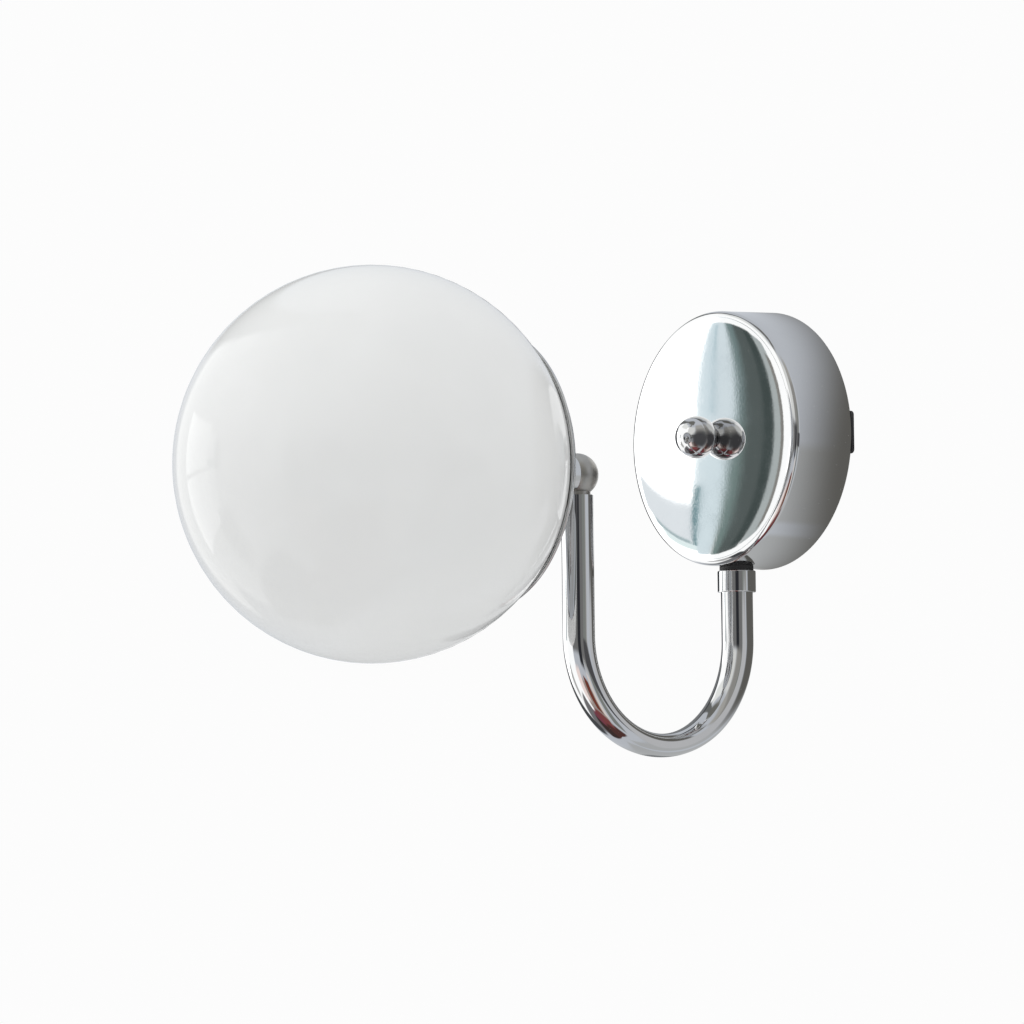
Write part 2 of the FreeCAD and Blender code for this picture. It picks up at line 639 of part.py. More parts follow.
def make_lampholder():
    """The lampholder: a threaded cap, a skirt, and the insulator with its screw shell and contact."""
    outer, wall, thread = "holder_width / 2", "holder_wall", "nipple_width / 2"
    neck, shoulder = "cap_neck_width / 2", "cap_neck + cap_shoulder"
    cap = turned("holder_cap", [
        (thread, "0"), (neck, "0"), (neck, "cap_neck"), bow(neck, shoulder), (outer, shoulder),
        (outer, "cap_length"), (f"{outer} - {wall}", "cap_length"), (f"{outer} - {wall}", shoulder),
        bow(neck, shoulder), (neck, f"cap_neck + {wall}"), (thread, f"cap_neck + {wall}"),
    ])
    from_globe(cap, "holder_rear")
    rim = f"{outer} - skirt_taper / 2"
    skirt = turned("holder_skirt", [
        (f"{outer} - {wall}", "0"), (outer, "0"), (rim, "skirt_length"),
        (f"{rim} - {wall}", "skirt_length"),
    ])
    from_globe(skirt, "holder_rear - cap_length")
    way, edge, depth = "insulator_bore / 2", f"{outer} - {wall} - insulator_play", "insulator_depth"
    insulator = turned("holder_insulator", [(way, "0"), (edge, "0"), (edge, depth), (way, depth)])
    floor = "holder_rear - cap_length - shell_inset"
    from_globe(insulator, f"{floor} + {depth}")
    inside, gauge, eye = "screw_shell_width / 2", "screw_shell_wall", "screw_shell_eye / 2"
    screw_shell = turned("screw_shell", [
        (eye, "0"), (f"{inside} + {gauge}", "0"), (f"{inside} + {gauge}", "screw_shell_length"),
        (inside, "screw_shell_length"), (inside, gauge), (eye, gauge),
    ])
    from_globe(screw_shell, floor)
    pad_edge, top = "contact_width / 2", "contact_height"
    contact = turned("centre_contact", [
        ("0", "-contact_stem"), (way, "-contact_stem"), (way, "0"), (pad_edge, f"{pad_edge} - {way}"),
        (pad_edge, f"{top} - edge_break"), (f"{pad_edge} - edge_break", top), ("0", top),
    ])
    from_globe(contact, floor)
    radius, height = "holder_screw_width / 2", "holder_screw_height"
    heads = [
        cylinder(f"holder_screw_{side}", radius, height, (f"{sign} * holder_screw_spacing / 2", "0", "0"))
        for side, sign in (("a", 1), ("b", -1))
    ]
    from_globe(group("holder_screws", heads), holder_screw_seat())


def make_lamp():
    """The lamp: a screw cap with its tip, a housing cone and an opal dome."""
    radius, face, height = "tip_width / 2", "tip_face / 2", "tip_height"
    tip = turned("lamp_tip_contact", [
        ("0", "0"), (face, "0"), (radius, "tip_bevel"), (radius, height), ("0", height),
    ])
    from_globe(tip, "lamp_tip")
    cap, gauge, rear = "lamp_cap_width / 2", "lamp_cap_gauge", "lamp_cap_rear"
    floor, shoulder, front = "lamp_cap_floor / 2", "lamp_cap_shoulder", "lamp_cap_front"
    shell = turned("lamp_cap", [
        (radius, rear), (floor, rear), (cap, shoulder), (cap, front), (f"{cap} - {gauge}", front),
        (f"{cap} - {gauge}", f"{shoulder} + {gauge}"), (floor, f"{rear} + {gauge}"),
        (radius, f"{rear} + {gauge}"),
    ])
    from_globe(shell, "lamp_tip")
    ball, angle = "(lamp_ball_width / 2)", "lamp_dome_angle"
    edge, back = f"{ball} * sin({angle})", f"lamp_ball_centre - {ball} * cos({angle})"
    housing = turned("lamp_housing", [
        ("0", f"{front} - lamp_tip"), (cap, f"{front} - lamp_tip"),
        ("housing_collar_width / 2", "housing_collar - lamp_tip"),
        ("housing_waist_width / 2", "housing_waist - lamp_tip"), (f"{edge} - running_fit", back),
        ("0", back),
    ])
    from_globe(housing, "0")
    inside = f"({ball} - lamp_wall)"
    dome = turned("lamp_dome", [
        (f"{inside} * sin({angle})", back), (edge, back), bow("0", "lamp_ball_centre"),
        ("0", f"lamp_ball_centre + {ball}"), ("0", f"lamp_ball_centre + {inside}"),
        bow("0", "lamp_ball_centre"),
    ])
    from_globe(dome, "0")


# ---- wiring -------------------------------------------------------------------------------------


def make_terminal_block():
    """The three-way terminal block on the strip, with its brass tubes and clamp screws."""
    height, half, radius = "block_height", "block_height / 2", "pole_width / 2"
    corner = ("-block_length / 2", "-(strip_gauge + block_depth)", f"-{half}")
    body = box("block_body", "block_length", "block_depth", height, corner)
    tubes, screws, cutters = [], [], []
    middle = "strip_gauge + block_depth / 2"
    for pole, name in ((-1, "live"), (0, "earth"), (1, "neutral")):
        across = f"{pole} * pole_pitch"
        foot = (across, f"-({middle})", f"-{half}")
        cutters.append(cylinder(f"{name}_way", radius, height, foot))
        bar_foot = (across, f"-({middle})", f"-{half} + pole_inset")
        bar = cylinder(f"{name}_bar", radius, f"{height} - 2 * pole_inset", bar_foot)
        tubes.append(cut(f"{name}_tube", bar, cylinder(f"{name}_bore", "pole_bore / 2", height, foot)))
        for side, end in ((-1, "base"), (1, "top")):
            at = (across, f"-({middle}) - {radius}", f"{side} * clamp_spacing / 2")
            label = f"{name}_{end}_clamp"
            wide = "clamp_width / 2 + clamp_play"
            cutters.append(cylinder(f"{label}_hole", wide, "block_depth", at, OUTWARD))
            screws.append(cylinder(label, "clamp_width / 2", "clamp_length", at, OUTWARD))
    place(cut("terminal_block", body, *cutters), UPRIGHT, across="-block_centre")
    place(group("terminal_tubes", tubes), UPRIGHT, across="-block_centre")
    place(group("terminal_screws", screws), UPRIGHT, across="-block_centre")


def make_earth_point():
    """The earth screw on the strip, with the ring terminal under its head."""
    hole, rim, gauge = "earth_hole_width / 2", "earth_ring_width / 2", "earth_ring_gauge"
    ring = turned("earth_ring", [(hole, "0"), (rim, "0"), (rim, gauge), (hole, gauge)])
    place(ring, OUTWARD, across="earth_centre", forward="strip_gauge")
    head, flat = "earth_head_width / 2", "earth_head_width / 2 - earth_head_round"
    edge = f"{gauge} + earth_head_edge"
    screw = turned("earth_screw", [
        ("0", "-strip_gauge"), (hole, "-strip_gauge"), (hole, gauge), (head, gauge), (head, edge),
        bow(flat, edge), (flat, f"{edge} + earth_head_round"), ("0", f"{edge} + earth_head_round"),
    ])
    place(screw, OUTWARD, across="earth_centre", forward="strip_gauge")


def rounded_path(points, radii):
    """Straight runs joined by tangent arcs. A corner with no radius of its own takes up to SLACK of its
    shorter run."""
    edges = []
    start = points[0]
    for index in range(1, len(points) - 1):
        before, corner, after = points[index - 1], points[index], points[index + 1]
        into, out = (before - corner), (after - corner)
        half = into.getAngle(out) / 2
        radius = radii.get(index, SLACK * min(into.Length, out.Length) * math.tan(half))
        setback = radius / math.tan(half)
        into.normalize()
        out.normalize()
        first, last = corner + into * setback, corner + out * setback
        bisector = (into + out).normalize()
        centre = corner + bisector * (radius / math.sin(half))
        middle = centre - bisector * radius
        if not first.isEqual(start, 1e-6):
            edges.append(Part.LineSegment(start, first).toShape())
        edges.append(Part.Arc(first, middle, last).toShape())
        start = last
    edges.append(Part.LineSegment(start, points[-1]).toShape())
    return Part.Wire(edges)


def make_wire(label, points, radii):
    """An insulated wire along its route, swept as one solid."""
    path = rounded_path(points, radii)
    radius = value("wire_width / 2")
    direction = (points[1] - points[0]).normalize()
    ring = Part.Wire([Part.Circle(points[0], direction, radius).toShape()])
    wire = doc.addObject("Part::Feature", label)
    wire.Label = label
    wire.Shape = path.makePipeShell([ring], True, False)
    keep(wire)
    print(f"{label}: {path.Length:.0f} mm long")


def block_entry():
    """How far out from the wall a wire enters the terminal block, and how far its end is from the middle."""
    return value("strip_gauge + block_depth / 2"), value("block_height / 2 - clamp_length")


def make_lamp_wires():
    """The two insulated wires from the terminal block, through the arm, to the lampholder's screws."""
    entry, in_block = block_entry()
    near, far, bend = value("arm_reach"), value("arm_reach + 2 * bend_radius"), value("bend_radius")
    foot, level = -value("bend_drop + bend_radius"), -value("globe_drop")
    neck_end = value("globe_reach - holder_rear + holder_engagement")
    screws = value(f"globe_reach - ({holder_screw_seat()})")
    below_block, above_arm, past_neck, lead = 24.0, 42.0, 2.8, 4.2
    radii = {3: bend, 4: bend, 5: 3.4, 6: 5.0, 7: 4.0}
    for label, side in (("live_wire", -1), ("neutral_wire", 1)):
        pole = -value("block_centre") + side * value("pole_pitch")
        x, screw_x = side * value("wire_pitch / 2"), side * value("holder_screw_spacing / 2")
        points = [
            Vector(pole, -entry, -in_block), Vector(pole, -entry, -below_block - 2 * side),
            Vector(x, -near, -above_arm), Vector(x, -near, foot), Vector(x, -far, foot),
            Vector(x, -far, level), Vector(x, -neck_end - past_neck, level),
            Vector(screw_x, -screws + lead, level), Vector(screw_x, -screws, level),
        ]
        make_wire(label, points, radii)


def make_earth_wire():
    """The earth wire from the ring terminal to the block's middle pole, in a slack loop."""
    entry, in_block = block_entry()
    ring, block = value("earth_centre"), -value("block_centre")
    off_strip, under_ring = 3.5, 4.2
    loop = [Vector(12, -6, -30), Vector(-8, -7, -30)]
    points = [
        Vector(ring, -off_strip, -under_ring), Vector(ring, -off_strip, -18), *loop,
        Vector(block, -entry, -20), Vector(block, -entry, -in_block),
    ]
    make_wire("earth_wire", points, {})


# ---- build --------------------------------------------------------------------------------------


def check_document():
    for item in doc.Objects:
        if {"Invalid", "Error"} & set(item.State):
            raise RuntimeError(f"{item.Name} failed: {item.State}")
    for piece in pieces:
        if piece.Shape.isNull() or not piece.Shape.isValid() or piece.Shape.Volume <= 0:
            raise RuntimeError(f"{piece.Label} has no valid solid")


def export():
    os.makedirs("parts", exist_ok=True)
    for piece in pieces:
        piece.Shape.exportStep(f"parts/{piece.Label}.step")


doc = FreeCAD.newDocument("globe_wall_sconce")
sheet = make_sheet()
pieces = []
make_wall_strip()
make_stud()
make_finial()
make_canopy()
make_arm_fixing()
make_arm_collar()
make_arm_tube()
make_knuckle()
make_neck()
make_dish()
make_clips()
make_globe()
make_lampholder()
make_lamp()
make_terminal_block()
make_earth_point()
make_lamp_wires()
make_earth_wire()
doc.recompute()
check_document()
export()
print(len(pieces), "pieces")
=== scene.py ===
"""Looks of a globe wall sconce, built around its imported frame.

Sizes in the classes are millimetres, and finished meshes are metres in the frame's own axes: the wall
is the plane y = 0, the lamp stands out towards -Y, +Z is up and x = 0 is the plane of symmetry. A
turned piece is drawn about its own axis and then laid outward (axis towards -Y) or upright (towards +Z).
"""

import logging
import math
from abc import ABC, abstractmethod
from dataclasses import dataclass
from enum import Enum
from functools import cache
from typing import Mapping, Optional, Sequence, Union

import bmesh
import bpy
import numpy as np
from mathutils import Matrix, Vector


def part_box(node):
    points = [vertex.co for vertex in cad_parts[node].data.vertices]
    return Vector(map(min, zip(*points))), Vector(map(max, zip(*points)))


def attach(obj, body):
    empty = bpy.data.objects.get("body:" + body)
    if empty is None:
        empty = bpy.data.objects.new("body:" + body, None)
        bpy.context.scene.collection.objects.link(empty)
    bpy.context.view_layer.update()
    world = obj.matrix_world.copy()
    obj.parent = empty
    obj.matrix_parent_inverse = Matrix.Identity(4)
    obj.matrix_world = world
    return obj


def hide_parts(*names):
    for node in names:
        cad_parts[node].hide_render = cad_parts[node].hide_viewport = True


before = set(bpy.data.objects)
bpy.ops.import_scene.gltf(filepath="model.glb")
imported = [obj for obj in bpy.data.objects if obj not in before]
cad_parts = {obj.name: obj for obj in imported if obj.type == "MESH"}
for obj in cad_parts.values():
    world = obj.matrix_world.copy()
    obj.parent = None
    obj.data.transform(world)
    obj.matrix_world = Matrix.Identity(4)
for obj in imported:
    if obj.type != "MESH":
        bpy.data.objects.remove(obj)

LOG = logging.getLogger("sconce")
MM = 0.001
TO_METRES = Matrix.Diagonal((MM, MM, MM, 1.0))
FULL_TURN = 2.0 * math.pi
SHARP_EDGE = math.radians(35.0)
TURNED_SIDES = 160
NIPPLE_RADIUS = 5.0
SLEEVE_EDGE = 0.5
LAMP_THREAD_PITCH = 2.8

Colour = tuple[float, float, float]
Point = tuple[float, float, float]
Operand = Union["Value", float]
Profile = tuple[tuple[float, float], ...]


# ---- shader graph -------------------------------------------------------------------------------


class Value:
    """A number that varies over a surface, with Python's operators on it."""

    def __init__(self, graph: "Graph", socket: bpy.types.NodeSocket) -> None:
        """Keeps the socket that carries the number, and the graph that it is in."""
        self.graph = graph
        self.socket = socket

    def __add__(self, other: Operand) -> "Value":
        """self + other."""
        return self.graph.math("ADD", self, other)

    def __sub__(self, other: Operand) -> "Value":
        """self - other."""
        return self.graph.math("SUBTRACT", self, other)

    def __rsub__(self, other: Operand) -> "Value":
        """other - self."""
        return self.graph.math("SUBTRACT", other, self)

    def __mul__(self, other: Operand) -> "Value":
        """self * other."""
        return self.graph.math("MULTIPLY", self, other)

    def __truediv__(self, other: Operand) -> "Value":
        """self / other."""
        return self.graph.math("DIVIDE", self, other)

    def __rtruediv__(self, other: Operand) -> "Value":
        """other / self."""
        return self.graph.math("DIVIDE", other, self)

    def __pow__(self, other: Operand) -> "Value":
        """self ** other."""
        return self.graph.math("POWER", self, other)

    def __rpow__(self, other: Operand) -> "Value":
        """other ** self."""
        return self.graph.math("POWER", other, self)

    def __abs__(self) -> "Value":
        """abs(self)."""
        return self.graph.math("ABSOLUTE", self)

    __radd__ = __add__
    __rmul__ = __mul__

    def ramp(self, low: float, high: float, start: float = 0.0, end: float = 1.0) -> "Value":
        """Eases the number from start to end as it goes from low to high.

        Args:
            low: where the ease begins.
            high: where it ends, above or below low.
            start: the result at low and before it.
            end: the result at high and past it.

        Returns:
            The eased number.
        """
        inputs = {"Value": self, "From Min": low, "From Max": high, "To Min": start, "To Max": end}
        made = self.graph.node("ShaderNodeMapRange", {"interpolation_type": "SMOOTHSTEP"}, inputs)
        return Value(self.graph, made.outputs["Result"])


class Graph:
    """The node tree of one material or world."""

    def __init__(self, tree: bpy.types.NodeTree) -> None:
        """Empties the tree, so that it holds only what the finish adds."""
        self.tree = tree
        tree.nodes.clear()

    def node(
        self,
        kind: str,
        settings: Optional[Mapping[str, object]] = None,
        inputs: Optional[Mapping[Union[str, int], object]] = None,
    ) -> bpy.types.Node:
        """Adds any node.

        Args:
            kind: the node's type.
            settings: its own settings, which are set first.
            inputs: for each input socket, a plain value, a Value or a socket to link.

        Returns:
            The new node.
        """
        made = self.tree.nodes.new(kind)
        for name, setting in (settings or {}).items():
            setattr(made, name, setting)
        for name, source in (inputs or {}).items():
            self.feed(made.inputs[name], source)
        return made

    def feed(self, target: bpy.types.NodeSocket, source: object) -> None:
        """Links a socket to what feeds it, or sets its plain value.

        Args:
            target: the input socket.
            source: a Value, a socket, a number or a tuple.
        """
        if isinstance(source, Value):
            source = source.socket
        if isinstance(source, bpy.types.NodeSocket):
            self.tree.links.new(source, target)
        elif target.type == "RGBA" and len(source) == 3:
            target.default_value = (*source, 1.0)
        else:
            target.default_value = source

    def math(self, operation: str, *operands: Operand) -> Value:
        """Adds one Math node for these numbers, in order."""
        made = self.node("ShaderNodeMath", {"operation": operation}, dict(enumerate(operands)))
        return Value(self, made.outputs[0])

    def place(self) -> bpy.types.NodeSocket:
        """The point on the surface, in metres, in the piece's own axes."""
        return self.node("ShaderNodeTexCoord").outputs["Object"]

    def part_of(self, vector: bpy.types.NodeSocket, axis: str) -> Value:
        """One of the X, Y and Z parts of a vector."""
        made = self.node("ShaderNodeSeparateXYZ", inputs={"Vector": vector})
        return Value(self, made.outputs[axis])

    def stretched(self, scale: Point) -> bpy.types.NodeSocket:
        """The surface point with each axis scaled, for a grain that is longer one way."""
        made = self.node("ShaderNodeVectorMath", {"operation": "MULTIPLY"}, {0: self.place(), 1: scale})
        return made.outputs[0]

    def noise(
        self, per_metre: float, detail: float = 2.0, place: Optional[bpy.types.NodeSocket] = None
    ) -> Value:
        """A soft random number from 0 to 1, at a place that is the surface point if not given."""
        inputs = {"Vector": place or self.place(), "Scale": per_metre, "Detail": detail}
        return Value(self, self.node("ShaderNodeTexNoise", inputs=inputs).outputs["Fac"])

    def spots(self, per_metre: float) -> Value:
        """The distance from the nearest of many scattered points, in cells."""
        made = self.node("ShaderNodeTexVoronoi", inputs={"Vector": self.place(), "Scale": per_metre})
        return Value(self, made.outputs["Distance"])

    def blend(self, share: Operand, first: object, second: object) -> bpy.types.NodeSocket:
        """Mixes two colours.

        Args:
            share: how much of the second colour shows.
            first: a colour or a colour socket.
            second: a colour or a colour socket.

        Returns:
            The mixed colour's socket.
        """
        made = self.node("ShaderNodeMix", {"data_type": "RGBA"})
        sockets = {socket.identifier: socket for socket in made.inputs}
        self.feed(sockets["Factor_Float"], share)
        self.feed(sockets["A_Color"], first)
        self.feed(sockets["B_Color"], second)
        return next(socket for socket in made.outputs if socket.identifier == "Result_Color")

    def relief(self, height: Value, depth: float) -> bpy.types.NodeSocket:
        """The surface normal under a relief, whose height runs from 0 to 1 over this depth in metres."""
        made = self.node("ShaderNodeBump", inputs={"Height": height, "Distance": depth, "Strength": 1.0})
        return made.outputs["Normal"]

    def either(self, share: object, first: object, second: object) -> bpy.types.NodeSocket:
        """Mixes two shaders, of which the second shows by this share."""
        return self.node("ShaderNodeMixShader", inputs={"Fac": share, 1: first, 2: second}).outputs[0]

    def show(self, surface: bpy.types.NodeSocket, output: str = "ShaderNodeOutputMaterial") -> None:
        """Sends a shader to the tree's output."""
        self.node(output, inputs={"Surface": surface})


def distance(first: Value, *others: Value) -> Value:
    """How far a point is from the origin, from its parts along the axes."""
    return sum((part ** 2.0 for part in others), first ** 2.0) ** 0.5


def new_material(name: str) -> tuple[bpy.types.Material, Graph]:
    """Makes a material.

    Args:
        name: its name.

    Returns:
        The material, and its empty node tree.
    """
    made = bpy.data.materials.new(name)
    made.use_nodes = True
    return made, Graph(made.node_tree)


def placed(name: str, data: bpy.types.ID) -> bpy.types.Object:
    """Puts a new object in the scene.

    Args:
        name: its name.
        data: its mesh, camera or light.

    Returns:
        The object, at the frame's own origin.
    """
    made = bpy.data.objects.new(name, data)
    bpy.context.scene.collection.objects.link(made)
    return made


# ---- finishes -----------------------------------------------------------------------------------

GRAIN_MATT = 0.12  # how much rougher the top of a grain is than its foot


@dataclass(frozen=True)
class Finish(ABC):
    """A surface finish, and the name of the record's slot that it fills."""

    slot: str

    @abstractmethod
    def paint(self, graph: Graph) -> dict[str, object]:
        """Adds the finish's nodes, and gives what feeds each socket of the surface shader."""

    def material(self) -> bpy.types.Material:
        """Builds the material, or finds it if it was built before.

        Returns:
            The material.
        """
        name = f"{self.slot}_{type(self).__name__}"
        if name in bpy.data.materials:
            return bpy.data.materials[name]
        made, graph = new_material(name)
        graph.show(graph.node("ShaderNodeBsdfPrincipled", inputs=self.paint(graph)).outputs["BSDF"])
        return made


@dataclass(frozen=True)
class ChromePlate(Finish):
    """Bright chrome: fine wiping that dulls it a little, a few specks of dust and faint orange peel."""

    colour: Colour = (0.7, 0.7, 0.7)
    dulled: Colour = (0.68, 0.68, 0.685)
    dust: Colour = (0.9, 0.9, 0.88)
    clean_roughness: float = 0.02
    wiped_roughness: float = 0.045
    dust_roughness: float = 0.4
    wipes_per_metre: float = 90.0
    mottle_per_metre: float = 1400.0
    peel_per_metre: float = 700.0
    peel_depth: float = 0.0000012
    dust_per_metre: float = 420.0
    dust_reach: float = 0.045

    def paint(self, graph: Graph) -> dict[str, object]:
        """Wiping shows as fine mottling, dust as pale dots.

        Args:
            graph: the material's node tree.

        Returns:
            What feeds each socket.
        """
        wiped = graph.noise(self.wipes_per_metre, 4.0).ramp(0.3, 0.8)
        mottle = graph.noise(self.mottle_per_metre, 3.0)
        dull = (wiped * 0.3 + mottle * 0.7).ramp(0.25, 0.8)
        dust = graph.spots(self.dust_per_metre).ramp(self.dust_reach, self.dust_reach * 0.4)
        worn = dull * (self.wiped_roughness - self.clean_roughness) + self.clean_roughness
        return {
            "Base Color": graph.blend(dust, graph.blend(dull, self.colour, self.dulled), self.dust),
            "Metallic": 1.0 - dust * 0.8,
            "Roughness": worn + dust * self.dust_roughness,
            "Normal": graph.relief(graph.noise(self.peel_per_metre, 2.0), self.peel_depth),
        }


@dataclass(frozen=True)
class BareMetal(Finish):
    """A plated or bare metal with a mottled shine and a drawn or rolled grain."""

    colour: Colour = (0.6, 0.6, 0.6)
    shade: Colour = (0.45, 0.45, 0.45)
    roughness: float = 0.3
    spread: float = 0.15
    grain: Point = (1.0, 1.0, 1.0)
    grain_per_metre: float = 1500.0
    grain_depth: float = 0.000004
    clouds_per_metre: float = 180.0

    def paint(self, graph: Graph) -> dict[str, object]:
        """Cloudy tone over a fine grain.

        Args:
            graph: the material's node tree.

        Returns:
            What feeds each socket.
        """
        cloud = graph.noise(self.clouds_per_metre, 4.0).ramp(0.3, 0.7)
        grain = graph.noise(self.grain_per_metre, 3.0, graph.stretched(self.grain))
        return {
            "Base Color": graph.blend(cloud * 0.6 + grain * 0.4, self.colour, self.shade),
            "Metallic": 1.0,
            "Roughness": (cloud * 0.5 + grain * 0.5) * self.spread + (self.roughness - self.spread / 2),
            "Normal": graph.relief(grain, self.grain_depth),
        }


@dataclass(frozen=True)
class BlackPaint(Finish):
    """Satin black paint on steel, rubbed to a greyer tone here and there."""

    colour: Colour = (0.018, 0.018, 0.02)
    rubbed: Colour = (0.06, 0.06, 0.062)
    roughness: float = 0.34
    rub_shine: float = 0.08
    patches_per_metre: float = 140.0
    peel_per_metre: float = 1800.0
    peel_depth: float = 0.000015

    def paint(self, graph: Graph) -> dict[str, object]:
        """Fine orange peel under soft rubbed patches.

        Args:
            graph: the material's node tree.

        Returns:
            What feeds each socket.
        """
        rubbed = graph.noise(self.patches_per_metre, 5.0).ramp(0.52, 0.8)
        peel = graph.noise(self.peel_per_metre, 2.0)
        return {
            "Base Color": graph.blend(rubbed, self.colour, self.rubbed),
            "Roughness": self.roughness + peel * GRAIN_MATT - rubbed * self.rub_shine,
            "Normal": graph.relief(peel, self.peel_depth),
        }


@dataclass(frozen=True)
class OpalGlass(Finish):
    """Glossy blown opal glass: a milky body with very slight waves and a film of dust.

    What lies nearer the middle than the skin, both in metres, has a painted glow: it emits a little light
    that stands in for the daylight that comes through the milk.
    """

    colour: Colour = (0.925, 0.935, 0.93)
    milk: Colour = (0.905, 0.915, 0.91)
    roughness: float = 0.05
    film_roughness: float = 0.03
    specular: float = 0.2
    clouds_per_metre: float = 22.0
    film_per_metre: float = 160.0
    waves_per_metre: float = 14.0
    wave_depth: float = 0.00006
    # painted glow of the inner skin: emitted light that stands in for daylight coming through the milk
    painted_glow: Colour = (0.06, 0.06, 0.059)
    middle: Point = (0.0, 0.0, 0.0)
    skin: float = 0.0
    skin_fade: float = 0.0005

    def paint(self, graph: Graph) -> dict[str, object]:
        """Slow cloud in the milk, slow waves in the surface, and a painted glow on the inner skin.

        Args:
            graph: the material's node tree.

        Returns:
            What feeds each socket.
        """
        cloud = graph.noise(self.clouds_per_metre, 3.0).ramp(0.3, 0.7)
        waves = graph.noise(self.waves_per_metre, 1.0)
        film = graph.noise(self.film_per_metre, 4.0).ramp(0.45, 0.8)
        spot = graph.place()
        across, along, above = (graph.part_of(spot, axis) - start for axis, start in zip("XYZ", self.middle))
        # painted glow: the inner skin emits a little light, in place of the daylight that comes through the
        # milk
        inside = distance(across, along, above).ramp(self.skin, self.skin - self.skin_fade)
        return {
            "Base Color": graph.blend(cloud, self.colour, self.milk),
            "Emission Color": graph.blend(inside, (0.0, 0.0, 0.0), self.painted_glow),
            "Emission Strength": 1.0,
            "Roughness": self.roughness + film * self.film_roughness,
            "Normal": graph.relief(waves, self.wave_depth),
            "Specular IOR Level": self.specular,
        }


@dataclass(frozen=True)
class Moulded(Finish):
    """A moulded, fired or extruded skin: a tone that drifts, a fine grain and its own gloss."""

    colour: Colour = (0.8, 0.8, 0.78)
    shade: Colour = (0.72, 0.72, 0.7)
    roughness: float = 0.4
    grain_per_metre: float = 2500.0
    grain_depth: float = 0.00001
    coat: float = 0.0
    drift_per_metre: float = 90.0

    def paint(self, graph: Graph) -> dict[str, object]:
        """Slow drift of tone over a fine grain.

        Args:
            graph: the material's node tree.

        Returns:
            What feeds each socket.
        """
        drift = graph.noise(self.drift_per_metre, 4.0).ramp(0.3, 0.75)
        grain = graph.noise(self.grain_per_metre, 3.0)
        return {
            "Base Color": graph.blend(drift, self.colour, self.shade),
            "Roughness": self.roughness + grain * GRAIN_MATT - GRAIN_MATT / 2.0,
            "Coat Weight": self.coat,
            "Normal": graph.relief(grain, self.grain_depth),
        }


@dataclass(frozen=True)
class StripedSleeve(Finish):
    """Green insulation with a yellow stripe along the sides that face the wall and the room."""

    green: Colour = (0.03, 0.26, 0.06)
    yellow: Colour = (0.75, 0.62, 0.03)
    roughness: float = 0.38
    grain_per_metre: float = 1600.0
    grain_depth: float = 0.00001

    def paint(self, graph: Graph) -> dict[str, object]:
        """The stripe follows the way that the skin faces.

        Args:
            graph: the material's node tree.

        Returns:
            What feeds each socket.
        """
        facing = graph.node("ShaderNodeNewGeometry").outputs["True Normal"]
        stripe = abs(graph.part_of(facing, "Y")).ramp(0.6, 0.7)
        grain = graph.noise(self.grain_per_metre, 3.0)
        return {
            "Base Color": graph.blend(stripe, self.green, self.yellow),
            "Roughness": self.roughness + grain * GRAIN_MATT,
            "Normal": graph.relief(grain, self.grain_depth),
        }


CHROME = ChromePlate("chrome")
SATIN = BareMetal("chrome", (0.5, 0.485, 0.455), (0.42, 0.405, 0.38), 0.36, 0.08, grain_depth=0.000001)
BLACK_STEEL = BlackPaint("black_steel")
ZINC = BareMetal("zinc_steel", (0.62, 0.63, 0.66), (0.42, 0.43, 0.45), 0.34, 0.16)
SPRING = BareMetal("spring_steel", (0.5, 0.51, 0.54), (0.33, 0.34, 0.36), 0.28, 0.12, (1.0, 6.0, 6.0))
RUBBER = Moulded("black_rubber", (0.018, 0.018, 0.019), (0.03, 0.03, 0.031), 0.62)
SILICONE = Moulded("clear_silicone", (0.7, 0.71, 0.7), (0.62, 0.63, 0.62), 0.35)
HOLDER = Moulded("holder_plastic", (0.74, 0.73, 0.69), (0.68, 0.67, 0.63), 0.3, coat=0.1)
CERAMIC = Moulded("holder_ceramic", (0.8, 0.78, 0.73), (0.72, 0.7, 0.65), 0.55, 900.0, 0.00003)
BRASS = BareMetal("brass", (0.76, 0.56, 0.24), (0.55, 0.38, 0.15), 0.3, 0.16)
NICKEL = BareMetal("nickel", (0.66, 0.64, 0.6), (0.5, 0.48, 0.45), 0.26, 0.12)
LAMP_WHITE = Moulded("lamp_housing_plastic", (0.82, 0.82, 0.81), (0.78, 0.78, 0.77), 0.42)
LAMP_DOME = Moulded("lamp_diffuser", (0.86, 0.86, 0.84), (0.83, 0.83, 0.81), 0.5, 700.0, 0.000004)
BLOCK = Moulded("block_plastic", (0.78, 0.78, 0.74), (0.72, 0.72, 0.68), 0.4)
BROWN = Moulded("brown_insulation", (0.13, 0.055, 0.025), (0.1, 0.04, 0.02), 0.4)
BLUE = Moulded("blue_insulation", (0.03, 0.11, 0.36), (0.025, 0.09, 0.3), 0.4)
EARTH = StripedSleeve("earth_insulation")


# ---- turned, swept and cut shapes ---------------------------------------------------------------


class Lay(Enum):
    """Which way the axis of a turned piece points."""

    OUTWARD = Matrix.Rotation(math.radians(90.0), 4, "X")
    UPRIGHT = Matrix.Identity(4)


@dataclass(frozen=True)
class Stop:
    """Where an outline goes next: straight, round a centre, or smoothly through many points."""

    at: Vector
    fillet: float = 0.0
    centre: Optional[Vector] = None
    through: Optional[np.ndarray] = None


@dataclass(frozen=True)
class Stretch:
    """One line or arc of an outline: its points and its outward normals there."""

    points: np.ndarray
    normals: np.ndarray


